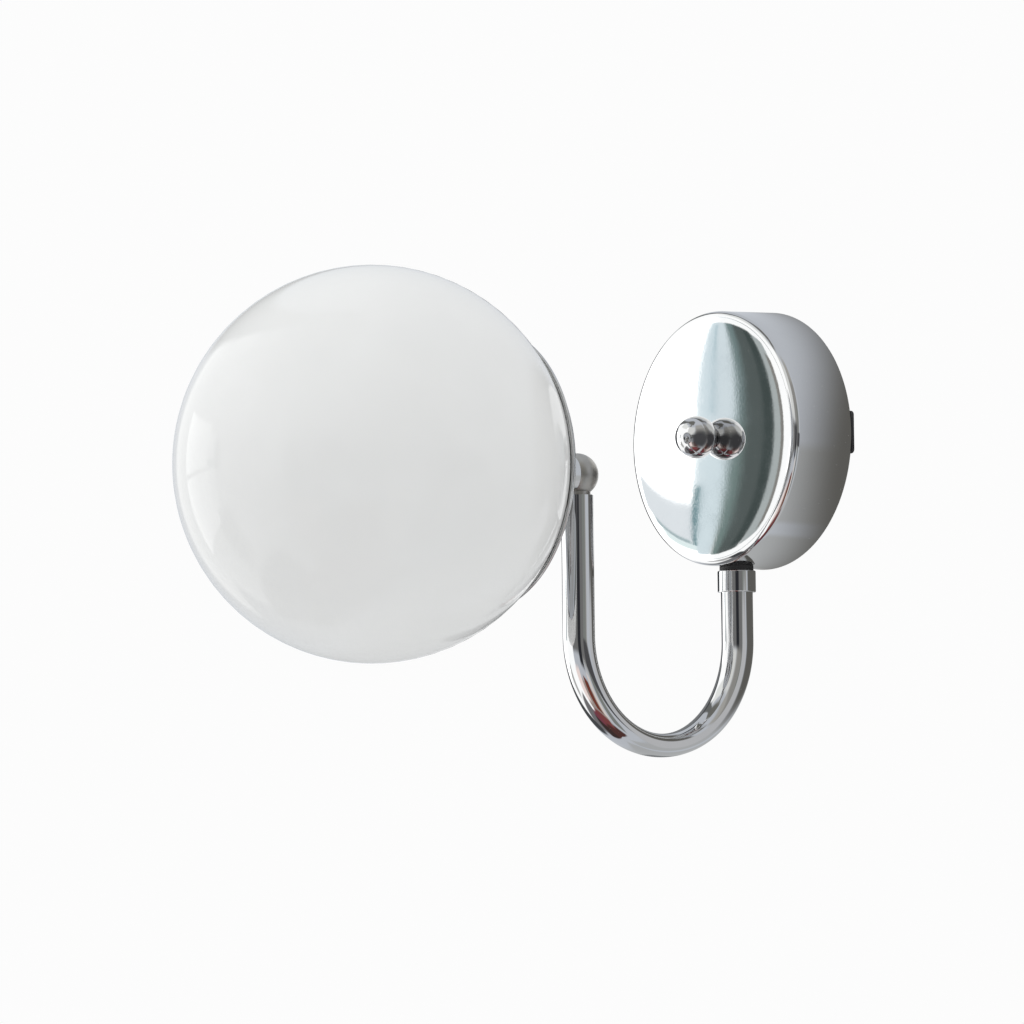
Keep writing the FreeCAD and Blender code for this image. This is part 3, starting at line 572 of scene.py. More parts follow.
class Outline:
    """The half outline of a turned piece, in (radius, height): up the outside and down the inside."""

    ARC_STEP = math.radians(4.0)
    ON_AXIS = 1e-9
    NO_LENGTH = 1e-7

    def __init__(self, radius: float, height: float) -> None:
        """Starts the outline at a point."""
        self.stops = [Stop(Vector((radius, height)))]

    def line(self, radius: float, height: float, fillet: float = 0.0) -> "Outline":
        """Goes straight to a point, whose corner is rounded by the fillet's radius."""
        self.stops.append(Stop(Vector((radius, height)), fillet))
        return self

    def arc(self, radius: float, height: float, centre: tuple[float, float]) -> "Outline":
        """Goes round a centre to a point, the shorter way."""
        self.stops.append(Stop(Vector((radius, height)), centre=Vector(centre)))
        return self

    def curve(self, points: Sequence[tuple[float, float]]) -> "Outline":
        """Goes smoothly through many points."""
        self.stops.append(Stop(Vector(points[-1]), through=np.array(points)))
        return self

    def stretches(self) -> list[Stretch]:
        """Works out the lines and arcs, with the fillets put in and the ends joined.

        Returns:
            The stretches in order.
        """
        found = []
        count = len(self.stops)
        on_axis = all(abs(self.stops[end].at.x) < self.ON_AXIS for end in (0, -1))
        pen = self.stops[0].at
        for index in range(1, count + (0 if on_axis else 1)):
            stop = self.stops[index % count]
            corner = stop.at
            if stop.through is not None:
                found.append(self._smooth(stop.through))
            elif stop.centre is not None:
                found.append(self._round(pen, corner, stop.centre))
            elif stop.fillet:
                after = self.stops[(index + 1) % count].at
                into, out = (pen - corner).normalized(), (after - corner).normalized()
                half = into.angle(out) / 2.0
                setback = math.tan(half)
                first, last = corner + into * stop.fillet / setback, corner + out * stop.fillet / setback
                middle = corner + (into + out).normalized() * stop.fillet / math.sin(half)
                found += [self._straight(pen, first), self._round(first, last, middle)]
                corner = last
            else:
                found.append(self._straight(pen, corner))
            pen = corner
        return [stretch for stretch in found if np.ptp(stretch.points, axis=0).max() > self.NO_LENGTH]

    @staticmethod
    def _straight(start: Vector, end: Vector) -> Stretch:
        """A line, with the one normal at both ends.

        Args:
            start: where it begins.
            end: where it ends.

        Returns:
            The line.
        """
        way = (end - start).normalized()
        normal = (way.y, -way.x)
        return Stretch(np.array([start, end]), np.array([normal, normal]))

    @staticmethod
    def _smooth(points: np.ndarray) -> Stretch:
        """A curve, with the normals of its own slope.

        Args:
            points: what it goes through, from end to end.

        Returns:
            The curve.
        """
        ways = np.gradient(points, axis=0)
        ways /= np.linalg.norm(ways, axis=1)[:, None]
        return Stretch(points, np.stack([ways[:, 1], -ways[:, 0]], axis=1))

    @classmethod
    def _round(cls, start: Vector, end: Vector, centre: Vector) -> Stretch:
        """An arc, with radial normals on the side that faces out.

        Args:
            start: where it begins.
            end: where it ends.
            centre: what it goes round.

        Returns:
            The arc, in steps of about ARC_STEP.
        """
        from_centre, to_centre = start - centre, end - centre
        first = math.atan2(from_centre.y, from_centre.x)
        swing = math.atan2(to_centre.y, to_centre.x) - first
        swing = (swing + math.pi) % FULL_TURN - math.pi
        steps = max(2, math.ceil(abs(swing) / cls.ARC_STEP))
        angles = first + swing * np.linspace(0.0, 1.0, steps + 1)
        rays = np.stack([np.cos(angles), np.sin(angles)], axis=1)
        return Stretch(np.array(centre) + from_centre.length * rays, rays * math.copysign(1.0, swing))


class Turning:
    """Makes meshes by turning outlines about an axis.

    A point nearer the axis than POLE is a pole. A corner whose outline normal agrees with its face by less
    than ASTRAY takes the face's own. Corners are worked through in lots of about BATCH.
    """

    POLE = 1e-6
    NO_LENGTH = 1e-12
    ASTRAY = 0.7
    BATCH = 20000

    def __init__(self, outline: Outline, sides: int = TURNED_SIDES) -> None:
        """Keeps the outline, and how many sides a full turn has."""
        self.stretches = outline.stretches()
        self.sides = sides

    def mesh(self) -> bpy.types.Mesh:
        """Turns the outline into a closed mesh, in millimetres, with the outline's own normals.

        Returns:
            The mesh.
        """
        rows = [self.stretches[0].points[0]]
        for stretch in self.stretches:
            rows.extend(stretch.points[1:])
        closed = np.abs(rows[0] - rows[-1]).max() < self.POLE
        if closed:
            rows.pop()
        angles = np.arange(self.sides) * FULL_TURN / self.sides
        verts, bands = [], []
        for radius, height in rows:
            if radius < self.POLE:
                bands.append([len(verts)])
                verts.append((0.0, 0.0, height))
                continue
            bands.append(list(range(len(verts), len(verts) + self.sides)))
            verts.extend((radius * math.cos(a), radius * math.sin(a), height) for a in angles)
        if closed:
            bands.append(bands[0])
        faces = [face for lower, upper in zip(bands, bands[1:]) for face in self._band(lower, upper)]
        made = bpy.data.meshes.new("turning")
        made.from_pydata(verts, [], faces)
        self.shade(made)
        return made

    def _band(self, lower: Sequence[int], upper: Sequence[int]) -> list[tuple[int, ...]]:
        """The faces between two rings, either of which may be a pole's one point.

        Args:
            lower: the points of the first ring.
            upper: the points of the next ring.

        Returns:
            The corners of each face.
        """
        faces = []
        for side in range(self.sides):
            after = (side + 1) % self.sides
            steps = ((lower, side), (lower, after), (upper, after), (upper, side))
            corners = tuple(dict.fromkeys(ring[step % len(ring)] for ring, step in steps))
            if len(corners) > 2:
                faces.append(corners)
        return faces

    def shade(self, mesh: bpy.types.Mesh) -> None:
        """Gives every face corner the outline's own normal, so that a wide face mirrors cleanly.

        Args:
            mesh: a mesh in the piece's own axes, also one that was cut after it was turned.
        """
        mesh.shade_smooth()
        starts = np.concatenate([s.points[:-1] for s in self.stretches])
        ways = np.concatenate([np.diff(s.points, axis=0) for s in self.stretches])
        first = np.concatenate([s.normals[:-1] for s in self.stretches])
        last = np.concatenate([s.normals[1:] for s in self.stretches])
        spots = np.array([v.co for v in mesh.vertices])
        corner = np.empty(len(mesh.loops), np.int32)
        mesh.loops.foreach_get("vertex_index", corner)
        counts = [p.loop_total for p in mesh.polygons]
        face = np.repeat(np.array([p.normal for p in mesh.polygons]), counts, axis=0)
        centres = np.repeat(np.array([p.center for p in mesh.polygons]), counts, axis=0)
        place = spots[corner]
        reach = np.hypot(place[:, 0], place[:, 1])
        lead = np.where((reach > self.POLE)[:, None], place[:, :2], centres[:, :2])
        lead /= np.maximum(np.hypot(lead[:, 0], lead[:, 1]), self.NO_LENGTH)[:, None]
        profile = np.stack([reach, place[:, 2]], axis=1)
        facing = np.stack([(face[:, :2] * lead).sum(1), face[:, 2]], axis=1)
        result = np.empty_like(face)
        for part in np.array_split(np.arange(len(corner)), max(1, len(corner) // self.BATCH)):
            offset = profile[part, None, :] - starts[None]
            along = np.clip((offset * ways).sum(2) / (ways**2).sum(1), 0.0, 1.0)
            gap = np.linalg.norm(offset - along[..., None] * ways, axis=2)
            miss = 1.0 - (facing[part, None, :] * (first + last)[None] / 2.0).sum(2)
            best = np.argmin(gap + miss, axis=1)
            share = along[np.arange(len(part)), best][:, None]
            normal = first[best] * (1.0 - share) + last[best] * share
            result[part] = np.concatenate([lead[part] * normal[:, :1], normal[:, 1:]], axis=1)
        astray = (result * face).sum(1) < self.ASTRAY
        result[astray] = face[astray]
        mesh.normals_split_custom_set(result / np.linalg.norm(result, axis=1)[:, None])


def bored(mesh: bpy.types.Mesh, cutters: Sequence[bpy.types.Mesh]) -> bpy.types.Mesh:
    """Cuts other meshes out of a mesh.

    Args:
        mesh: what is cut.
        cutters: the closed meshes that cut it.

    Returns:
        A new mesh.
    """
    host = placed("cut_host", mesh)
    tools = [placed("cut_tool", cutter) for cutter in cutters]
    for tool in tools:
        step = host.modifiers.new("cut", "BOOLEAN")
        step.operation = "DIFFERENCE"
        step.solver = "EXACT"
        step.object = tool
    graph = bpy.context.evaluated_depsgraph_get()
    result = bpy.data.meshes.new_from_object(host.evaluated_get(graph))
    for item in (host, *tools):
        bpy.data.objects.remove(item)
    return result


def facing(at: Sequence[float], way: Vector) -> Matrix:
    """Stands a thing at a point, with its own +Z this way."""
    return Matrix.Translation(at) @ way.to_track_quat("Z", "Y").to_matrix().to_4x4()


def rod(radius: float, start: Vector, end: Vector, sides: int = 64) -> bpy.types.Mesh:
    """A plain closed rod, for cutting bores.

    Args:
        radius: its radius.
        start: the middle of one end.
        end: the middle of the other.
        sides: how many sides it has.

    Returns:
        The rod.
    """
    way = end - start
    made = Turning(plain_disc(radius, way.length), sides).mesh()
    made.transform(facing(start, way))
    return made


def plain_disc(radius: float, height: float) -> Outline:
    """The outline of a plain closed disc or rod, which stands on the origin."""
    return Outline(0.0, 0.0).line(radius, 0.0).line(radius, height).line(0.0, height)


def box_mesh(low_corner: Sequence[float], high_corner: Sequence[float]) -> bpy.types.Mesh:
    """An upright block, for cutting.

    Args:
        low_corner: its lowest corner.
        high_corner: its highest corner.

    Returns:
        The block.
    """
    (x0, y0, z0), (x1, y1, z1) = low_corner, high_corner
    verts = [(x, y, z) for x in (x0, x1) for y in (y0, y1) for z in (z0, z1)]
    faces = [(0, 1, 3, 2), (4, 6, 7, 5), (0, 4, 5, 1), (2, 3, 7, 6), (0, 2, 6, 4), (1, 5, 7, 3)]
    made = bpy.data.meshes.new("block")
    made.from_pydata(verts, [], faces)
    return made


def softened(mesh: bpy.types.Mesh) -> bpy.types.Mesh:
    """Shades a mesh smooth, apart from its sharp edges.

    Args:
        mesh: the mesh.

    Returns:
        The same mesh.
    """
    mesh.shade_smooth()
    mesh.set_sharp_from_angle(angle=SHARP_EDGE)
    return mesh


def grid_mesh(rows: np.ndarray, capped: bool = True) -> bpy.types.Mesh:
    """Skins rings of points that follow each other.

    Args:
        rows: points by ring, by place in the ring, and by axis.
        capped: True if a flat face closes each end, False if the last ring meets the first.

    Returns:
        A smooth mesh with its sharp edges marked.
    """
    count, sides = rows.shape[:2]
    faces = []
    for ring in range(count - (1 if capped else 0)):
        here, above = ring * sides, (ring + 1) % count * sides
        for side in range(sides):
            after = (side + 1) % sides
            faces.append((here + side, here + after, above + after, above + side))
    if capped:
        faces.append(tuple(reversed(range(sides))))
        faces.append(tuple(range((count - 1) * sides, count * sides)))
    made = bpy.data.meshes.new("skin")
    made.from_pydata(rows.reshape(-1, 3).tolist(), [], faces)
    return softened(made)


def rings(radius: np.ndarray, turn: np.ndarray, level: np.ndarray) -> np.ndarray:
    """Rings of points about the Z axis, at these radii, shares of a full turn and heights."""
    angle = FULL_TURN * turn
    return np.stack(np.broadcast_arrays(radius * np.cos(angle), radius * np.sin(angle), level), axis=2)


@dataclass(frozen=True)
class Thread:
    """A screw thread: its outer radius, depth and pitch, and whether it is rolled round or cut sharp.

    The cut of a sharp one, as a share of its depth, is flank for each pitch from the middle of the crest,
    less crest, and never under 0 or over 1.
    """

    radius: float
    depth: float
    pitch: float
    rolled: bool = False
    flank: float = 2.6
    crest: float = 0.15

    def cut_at(self, turn: np.ndarray, height: np.ndarray) -> np.ndarray:
        """How far the surface lies under the outer radius.

        Args:
            turn: the angle about the axis, as a share of a full turn.
            height: the height along the axis.

        Returns:
            The depth at each point.
        """
        phase = (height / self.pitch - turn) % 1.0
        if self.rolled:
            return self.depth * (0.5 - 0.5 * np.cos(FULL_TURN * phase))
        return self.depth * np.clip(np.abs(phase - 0.5) * self.flank - self.crest, 0.0, 1.0)

    def cut_from(
        self, plain: Union[float, np.ndarray], turn: np.ndarray, level: np.ndarray, start: float, end: float
    ) -> np.ndarray:
        """Cuts the thread into a plain skin, fading in and out over one pitch.

        Args:
            plain: the plain radius.
            turn: the angle about the axis, as a share of a full turn.
            level: the height along the axis.
            start: where the thread begins.
            end: where it ends.

        Returns:
            The radius at each point.
        """
        fade_in = np.clip((level - start) / self.pitch, 0.0, 1.0)
        fade_out = np.clip((end - level) / self.pitch, 0.0, 1.0)
        return plain - self.cut_at(turn, level) * fade_in * fade_out


def threaded(
    thread: Thread,
    length: float,
    bore: float = 0.0,
    start: float = 0.0,
    chamfer: float = 0.6,
    sides: int = 48,
    per_turn: int = 10,
) -> bpy.types.Mesh:
    """A rod or tube with a thread on its outside.

    Args:
        thread: the thread.
        length: the rod's length.
        bore: the radius of the way through it, or 0 for none.
        start: where the thread begins, along the rod.
        chamfer: how far each end narrows.
        sides: how many sides a full turn has.
        per_turn: how many rings each turn of the thread has.

    Returns:
        The mesh, with its foot at the origin and its axis along Z.
    """
    heights = np.linspace(0.0, length, max(2, int(length / thread.pitch * per_turn)) + 1)
    level, turn = np.meshgrid(heights, np.arange(sides) / sides, indexing="ij")
    radius = thread.cut_from(thread.radius, turn, level, start, math.inf)
    end = np.minimum(level, length - level)
    radius = np.minimum(radius, thread.radius - np.clip(chamfer - end, 0.0, chamfer))
    if bore:
        hole = np.full((1, sides), bore)
        radius = np.concatenate([hole, radius, hole])
        level, turn = (np.concatenate([part[:1], part, part[-1:]]) for part in (level, turn))
    return grid_mesh(rings(radius, turn, level), not bore)


def rolled(
    outer: Profile,
    inner: Profile,
    thread: Thread,
    start: float,
    end: float,
    sides: int = 72,
    per_turn: int = 12,
) -> bpy.types.Mesh:
    """A turned sheet-metal shell with a thread rolled into its wall.

    Args:
        outer: the outside as radius and height, from its foot up.
        inner: the inside, from its top down.
        thread: the thread.
        start: where the thread begins.
        end: where the thread ends.
        sides: how many sides a full turn has.
        per_turn: how many rings each turn of the thread has.

    Returns:
        The mesh, with its axis along Z.
    """
    profile = [outer[0]]
    for here, there in zip((*outer, *inner), (*outer[1:], *inner)):
        steps = max(1, round(abs(there[1] - here[1]) / thread.pitch * per_turn))
        profile += [np.add(here, np.subtract(there, here) * step / steps) for step in range(1, steps + 1)]
    plain, level = np.array(profile).T[:, :, None]
    turn = np.arange(sides)[None, :] / sides
    return grid_mesh(rings(thread.cut_from(plain, turn, level, start, end), turn, level), False)


@dataclass(frozen=True)
class Nipple:
    """A hollow threaded nipple, of the size that clamps the parts of a lamp."""

    bore: float = 3.75
    pitch: float = 1.0
    depth: float = 0.55

    def mesh(self, radius: float, length: float) -> bpy.types.Mesh:
        """Cuts its thread from end to end."""
        return threaded(Thread(radius, self.depth, self.pitch), length, self.bore)


def along_ball(radius: float, off_axis: float) -> float:
    """How far from a ball's middle, along its axis, its skin is this far off the axis."""
    return math.sqrt(radius**2 - off_axis**2)


@dataclass(frozen=True)
class Screw:
    """A short screw with a slot across its head.

    The first of several is turned by first_turn, in radians, and each one after it by next_turn more.
    """

    radius: float
    height: float
    crown: float = 0.3
    shank: float = 0.0
    shank_length: float = 0.0
    slot_width: float = 0.7
    slot_depth: float = 0.9
    edge_round: float = 0.15
    point_round: float = 0.3
    crown_spread: float = 1.4
    sides: int = 32
    first_turn: float = 0.7
    next_turn: float = 1.9
    slot_clearance: float = 1.0

    def mesh(self, spots: Sequence[Vector]) -> bpy.types.Mesh:
        """Turns the screw, saws its slot, and sets one at each spot.

        Args:
            spots: where the foot of each head goes, in the mesh's own axes.

        Returns:
            All the screws as one mesh, with their axes along Z.
        """
        outline = Outline(0.0, -self.shank_length)
        if self.shank:
            outline.line(self.shank, -self.shank_length, self.point_round).line(self.shank, 0.0)
        outline.line(self.radius, 0.0, self.edge_round)
        outline.line(self.radius, self.height - self.crown, self.edge_round)
        outline.line(self.radius - self.crown * self.crown_spread, self.height, self.point_round)
        outline.line(0.0, self.height)
        side, top = self.radius + self.slot_clearance, self.height + self.slot_clearance
        floor, half = self.height - self.slot_depth, self.slot_width / 2.0
        slot = box_mesh((-side, -half, floor), (side, half, top))
        screw = bored(Turning(outline, self.sides).mesh(), [slot])
        gathered = bmesh.new()
        for index, spot in enumerate(spots):
            copy = screw.copy()
            turned = Matrix.Rotation(self.first_turn + self.next_turn * index, 4, "Z")
            copy.transform(Matrix.Translation(spot) @ turned)
            gathered.from_mesh(copy)
        gathered.to_mesh(screw)
        gathered.free()
        return softened(screw)


# ---- pieces -------------------------------------------------------------------------------------


class Assembly(ABC):
    """A sub-assembly that stands on one body of the frame.

    On nodes that keep their own shape, edges sharper than EDGE_ANGLE are broken in EDGE_STEPS steps, once
    points nearer each other than WELD, in metres, are joined.
    """

    body = "wall_unit"
    WELD = 0.002 * MM
    EDGE_STEPS = 2
    EDGE_ANGLE = math.radians(40.0)

    @abstractmethod
    def build(self) -> None:
        """Makes and dresses every piece of the sub-assembly."""

    def stand(
        self,
        name: str,
        mesh: bpy.types.Mesh,
        finish: Finish,
        *nodes: str,
        lay: Lay = Lay.UPRIGHT,
        at: Point = (0.0, 0.0, 0.0),
    ) -> None:
        """Puts a mesh in the frame as a piece.

        Args:
            name: the piece's name.
            mesh: its mesh in millimetres, in its own axes.
            finish: its finish.
            nodes: the frame's nodes that it stands for.
            lay: which way its axis points.
            at: where its own origin goes, in millimetres.
        """
        mesh.transform(TO_METRES @ Matrix.Translation(Vector(at)) @ lay.value)
        mesh.name = name
        mesh.materials.clear()
        mesh.materials.append(finish.material())
        piece = placed(name, mesh)
        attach(piece, self.body)
        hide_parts(*nodes)
        LOG.info("%s: %d faces, %s", name, len(mesh.polygons), finish.slot)

    def dress(self, finish: Finish, *nodes: str, edge: float = 0.0) -> None:
        """Gives nodes of the frame their finish, and breaks their edges.

        Args:
            finish: the finish.
            nodes: the nodes that keep their own shape.
            edge: the width of the broken edges in millimetres, or 0 for none.
        """
        for name in nodes:
            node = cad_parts[name]
            node.data.materials.clear()
            node.data.materials.append(finish.material())
            if edge:
                weld = node.modifiers.new("weld", "WELD")
                weld.merge_threshold = self.WELD
                bevel = node.modifiers.new("edges", "BEVEL")
                bevel.width = edge * MM
                bevel.segments = self.EDGE_STEPS
                bevel.limit_method = "ANGLE"
                bevel.angle_limit = self.EDGE_ANGLE
                bevel.use_clamp_overlap = True
                node.modifiers.new("normals", "WEIGHTED_NORMAL").keep_sharp = True
            LOG.info("%s keeps its shape, %s", name, finish.slot)


@cache
def low(node: str) -> Vector:
    """A node's lowest corner, in millimetres."""
    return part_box(node)[0] / MM


@cache
def high(node: str) -> Vector:
    """A node's highest corner, in millimetres."""
    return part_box(node)[1] / MM


def reach(node: str) -> float:
    """How far a node stands out from the wall at its front, in millimetres."""
    return -low(node).y


def rear(node: str) -> float:
    """How far a node's back is from the wall, in millimetres."""
    return -high(node).y


def globe_level() -> float:
    """The height of the globe's axis."""
    return (high("neck_collar").z + low("neck_collar").z) / 2.0


def globe_reach() -> float:
    """How far the globe's centre stands out from the wall."""
    return reach("glass_globe") - high("glass_globe").z + globe_level()


def on_globe_axis(out: float) -> Point:
    """The point of the globe's axis that is this far out from the wall."""
    return (0.0, -out, globe_level())


@dataclass
class WallFixing(Assembly):
    """The strip on the wall, the stud that carries the canopy, and the wiring behind it."""

    stud_pitch: float = 1.25
    stud_thread_depth: float = 0.6
    stud_plain_foot: float = 1.5
    poles: int = 3
    clamp_width: float = 3.0
    clamp_slot_depth: float = 0.8
    earth_shank: float = 1.95
    earth_crown: float = 1.1
    earth_slot: tuple[float, float] = (1.1, 1.2)

    def build(self) -> None:
        """Makes the stud with its thread, and dresses the rest."""
        foot = rear("centre_stud")
        thread = Thread(high("centre_stud").x, self.stud_thread_depth, self.stud_pitch)
        stud = threaded(thread, reach("centre_stud") - foot, start=self.stud_plain_foot)
        self.stand("threaded_stud", stud, ZINC, "centre_stud", lay=Lay.OUTWARD, at=(0.0, -foot, 0.0))
        self.dress(BLACK_STEEL, "wall_bracket", edge=0.3)
        self.dress(ZINC, "stud_nut", edge=0.25)
        self.dress(ZINC, "stud_washer", "earth_ring", edge=0.1)
        self.dress(BLOCK, "terminal_block", edge=0.4)
        self.dress(BRASS, "terminal_tubes", edge=0.2)
        self.dress(BROWN, "live_wire")
        self.dress(BLUE, "neutral_wire")
        self.dress(EARTH, "earth_wire")
        self.screws()

    def screws(self) -> None:
        """Sets the slotted screws: two that clamp each pole of the block, and the earth screw."""
        first, last = low("terminal_screws"), high("terminal_screws")
        radius = self.clamp_width / 2.0
        columns = np.linspace(first.x + radius, last.x - radius, self.poles)
        rows = (first.z + radius, last.z - radius)
        spots = [Vector((x, z, 0.0)) for x in columns for z in rows]
        clamps = Screw(radius, last.y - first.y, slot_depth=self.clamp_slot_depth).mesh(spots)
        self.stand("clamp_screws", clamps, ZINC, "terminal_screws", lay=Lay.OUTWARD, at=(0.0, last.y, 0.0))
        first, last = low("earth_screw"), high("earth_screw")
        seat = reach("earth_ring")
        radius, height, shank_length = (last.x - first.x) / 2.0, -first.y - seat, last.y + seat
        screw = Screw(radius, height, self.earth_crown, self.earth_shank, shank_length, *self.earth_slot)
        middle = ((first.x + last.x) / 2.0, -seat, (first.z + last.z) / 2.0)
        mesh = screw.mesh([Vector((0.0, 0.0, 0.0))])
        self.stand("slotted_earth_screw", mesh, ZINC, "earth_screw", lay=Lay.OUTWARD, at=middle)


@dataclass
class Canopy(Assembly):
    """The drawn cup over the wall fixing: a crowned face, a rounded edge and a slightly flared side.

    Each of the rises is a share of the crown, and the power of the radius that it falls off with.
    """

    wall: float = 1.0
    flare: float = 1.0
    round: float = 3.0
    crown: float = 0.8
    rim_roll: float = 0.45
    stud_hole: float = 4.3
    arm_hole: float = 5.3
    rises: tuple[tuple[float, float], ...] = ((0.5, 2.0), (0.32, 6.0), (0.18, 18.0))
    crown_steps: int = 60
    sides: int = 360
    cut_clearance: float = 5.0

    def rise(self, share: float) -> float:
        """How far the face's dome stands over its edge, at a share of its radius."""
        return self.crown * sum(part * (1.0 - share**power) for part, power in self.rises)

    def build(self) -> None:
        """Turns the shell and cuts the arm's hole in its underside."""
        back = rear("canopy")
        depth = reach("canopy") - back - self.crown
        foot = high("canopy").x
        front = foot - self.flare
        flat = front - self.round
        bend = (flat, depth - self.round)
        bulge = (flat**2 + self.crown**2) / (2.0 * self.crown)
        dome = [(r, depth + self.rise(r / flat)) for r in np.linspace(flat, self.stud_hole, self.crown_steps)]
        inner_centre = (0.0, depth + self.crown - bulge - self.wall)
        lip = self.rim_roll
        outline = (
            Outline(foot - self.wall, lip)
            .line(foot - self.wall, 0.0, lip)
            .line(foot, 0.0, lip)
            .line(front, depth - self.round)
            .arc(flat, depth, bend)
            .curve(dome)
            .line(self.stud_hole, depth + self.crown - self.wall)
            .arc(flat, depth - self.wall, inner_centre)
            .arc(front - self.wall, depth - self.round, bend)
        )
        turning = Turning(outline, self.sides)
        out = rear("arm_nipple") + high("arm_nipple").x - back
        below = Vector((0.0, -foot - self.cut_clearance, out))
        shell = bored(turning.mesh(), [rod(self.arm_hole, below, Vector((0.0, -foot / 2.0, out)))])
        turning.shade(shell)
        self.stand("canopy_shell", shell, CHROME, "canopy", lay=Lay.OUTWARD, at=(0.0, -back, 0.0))


@dataclass
class Finial(Assembly):
    """The ball nut in the middle of the canopy."""

    body = "finial"
    bore_end: float = 4.0
    bore_clearance: float = 0.05

    def build(self) -> None:
        """Turns the ball with its seat and its blind bore."""
        radius = high("finial_ball").x
        centre = reach("finial_ball") - radius
        seat = centre - rear("finial_ball")
        bore = high("centre_stud").x + self.bore_clearance
        outline = (
            Outline(0.0, self.bore_end)
            .line(bore, self.bore_end)
            .line(bore, -seat)
            .line(along_ball(radius, seat), -seat)
            .arc(radius, 0.0, (0.0, 0.0))
            .arc(0.0, radius, (0.0, 0.0))
            .line(0.0, self.bore_end)
        )
        mesh = Turning(outline).mesh()
        self.stand("finial_ball_nut", mesh, CHROME, "finial_ball", lay=Lay.OUTWARD, at=(0.0, -centre, 0.0))


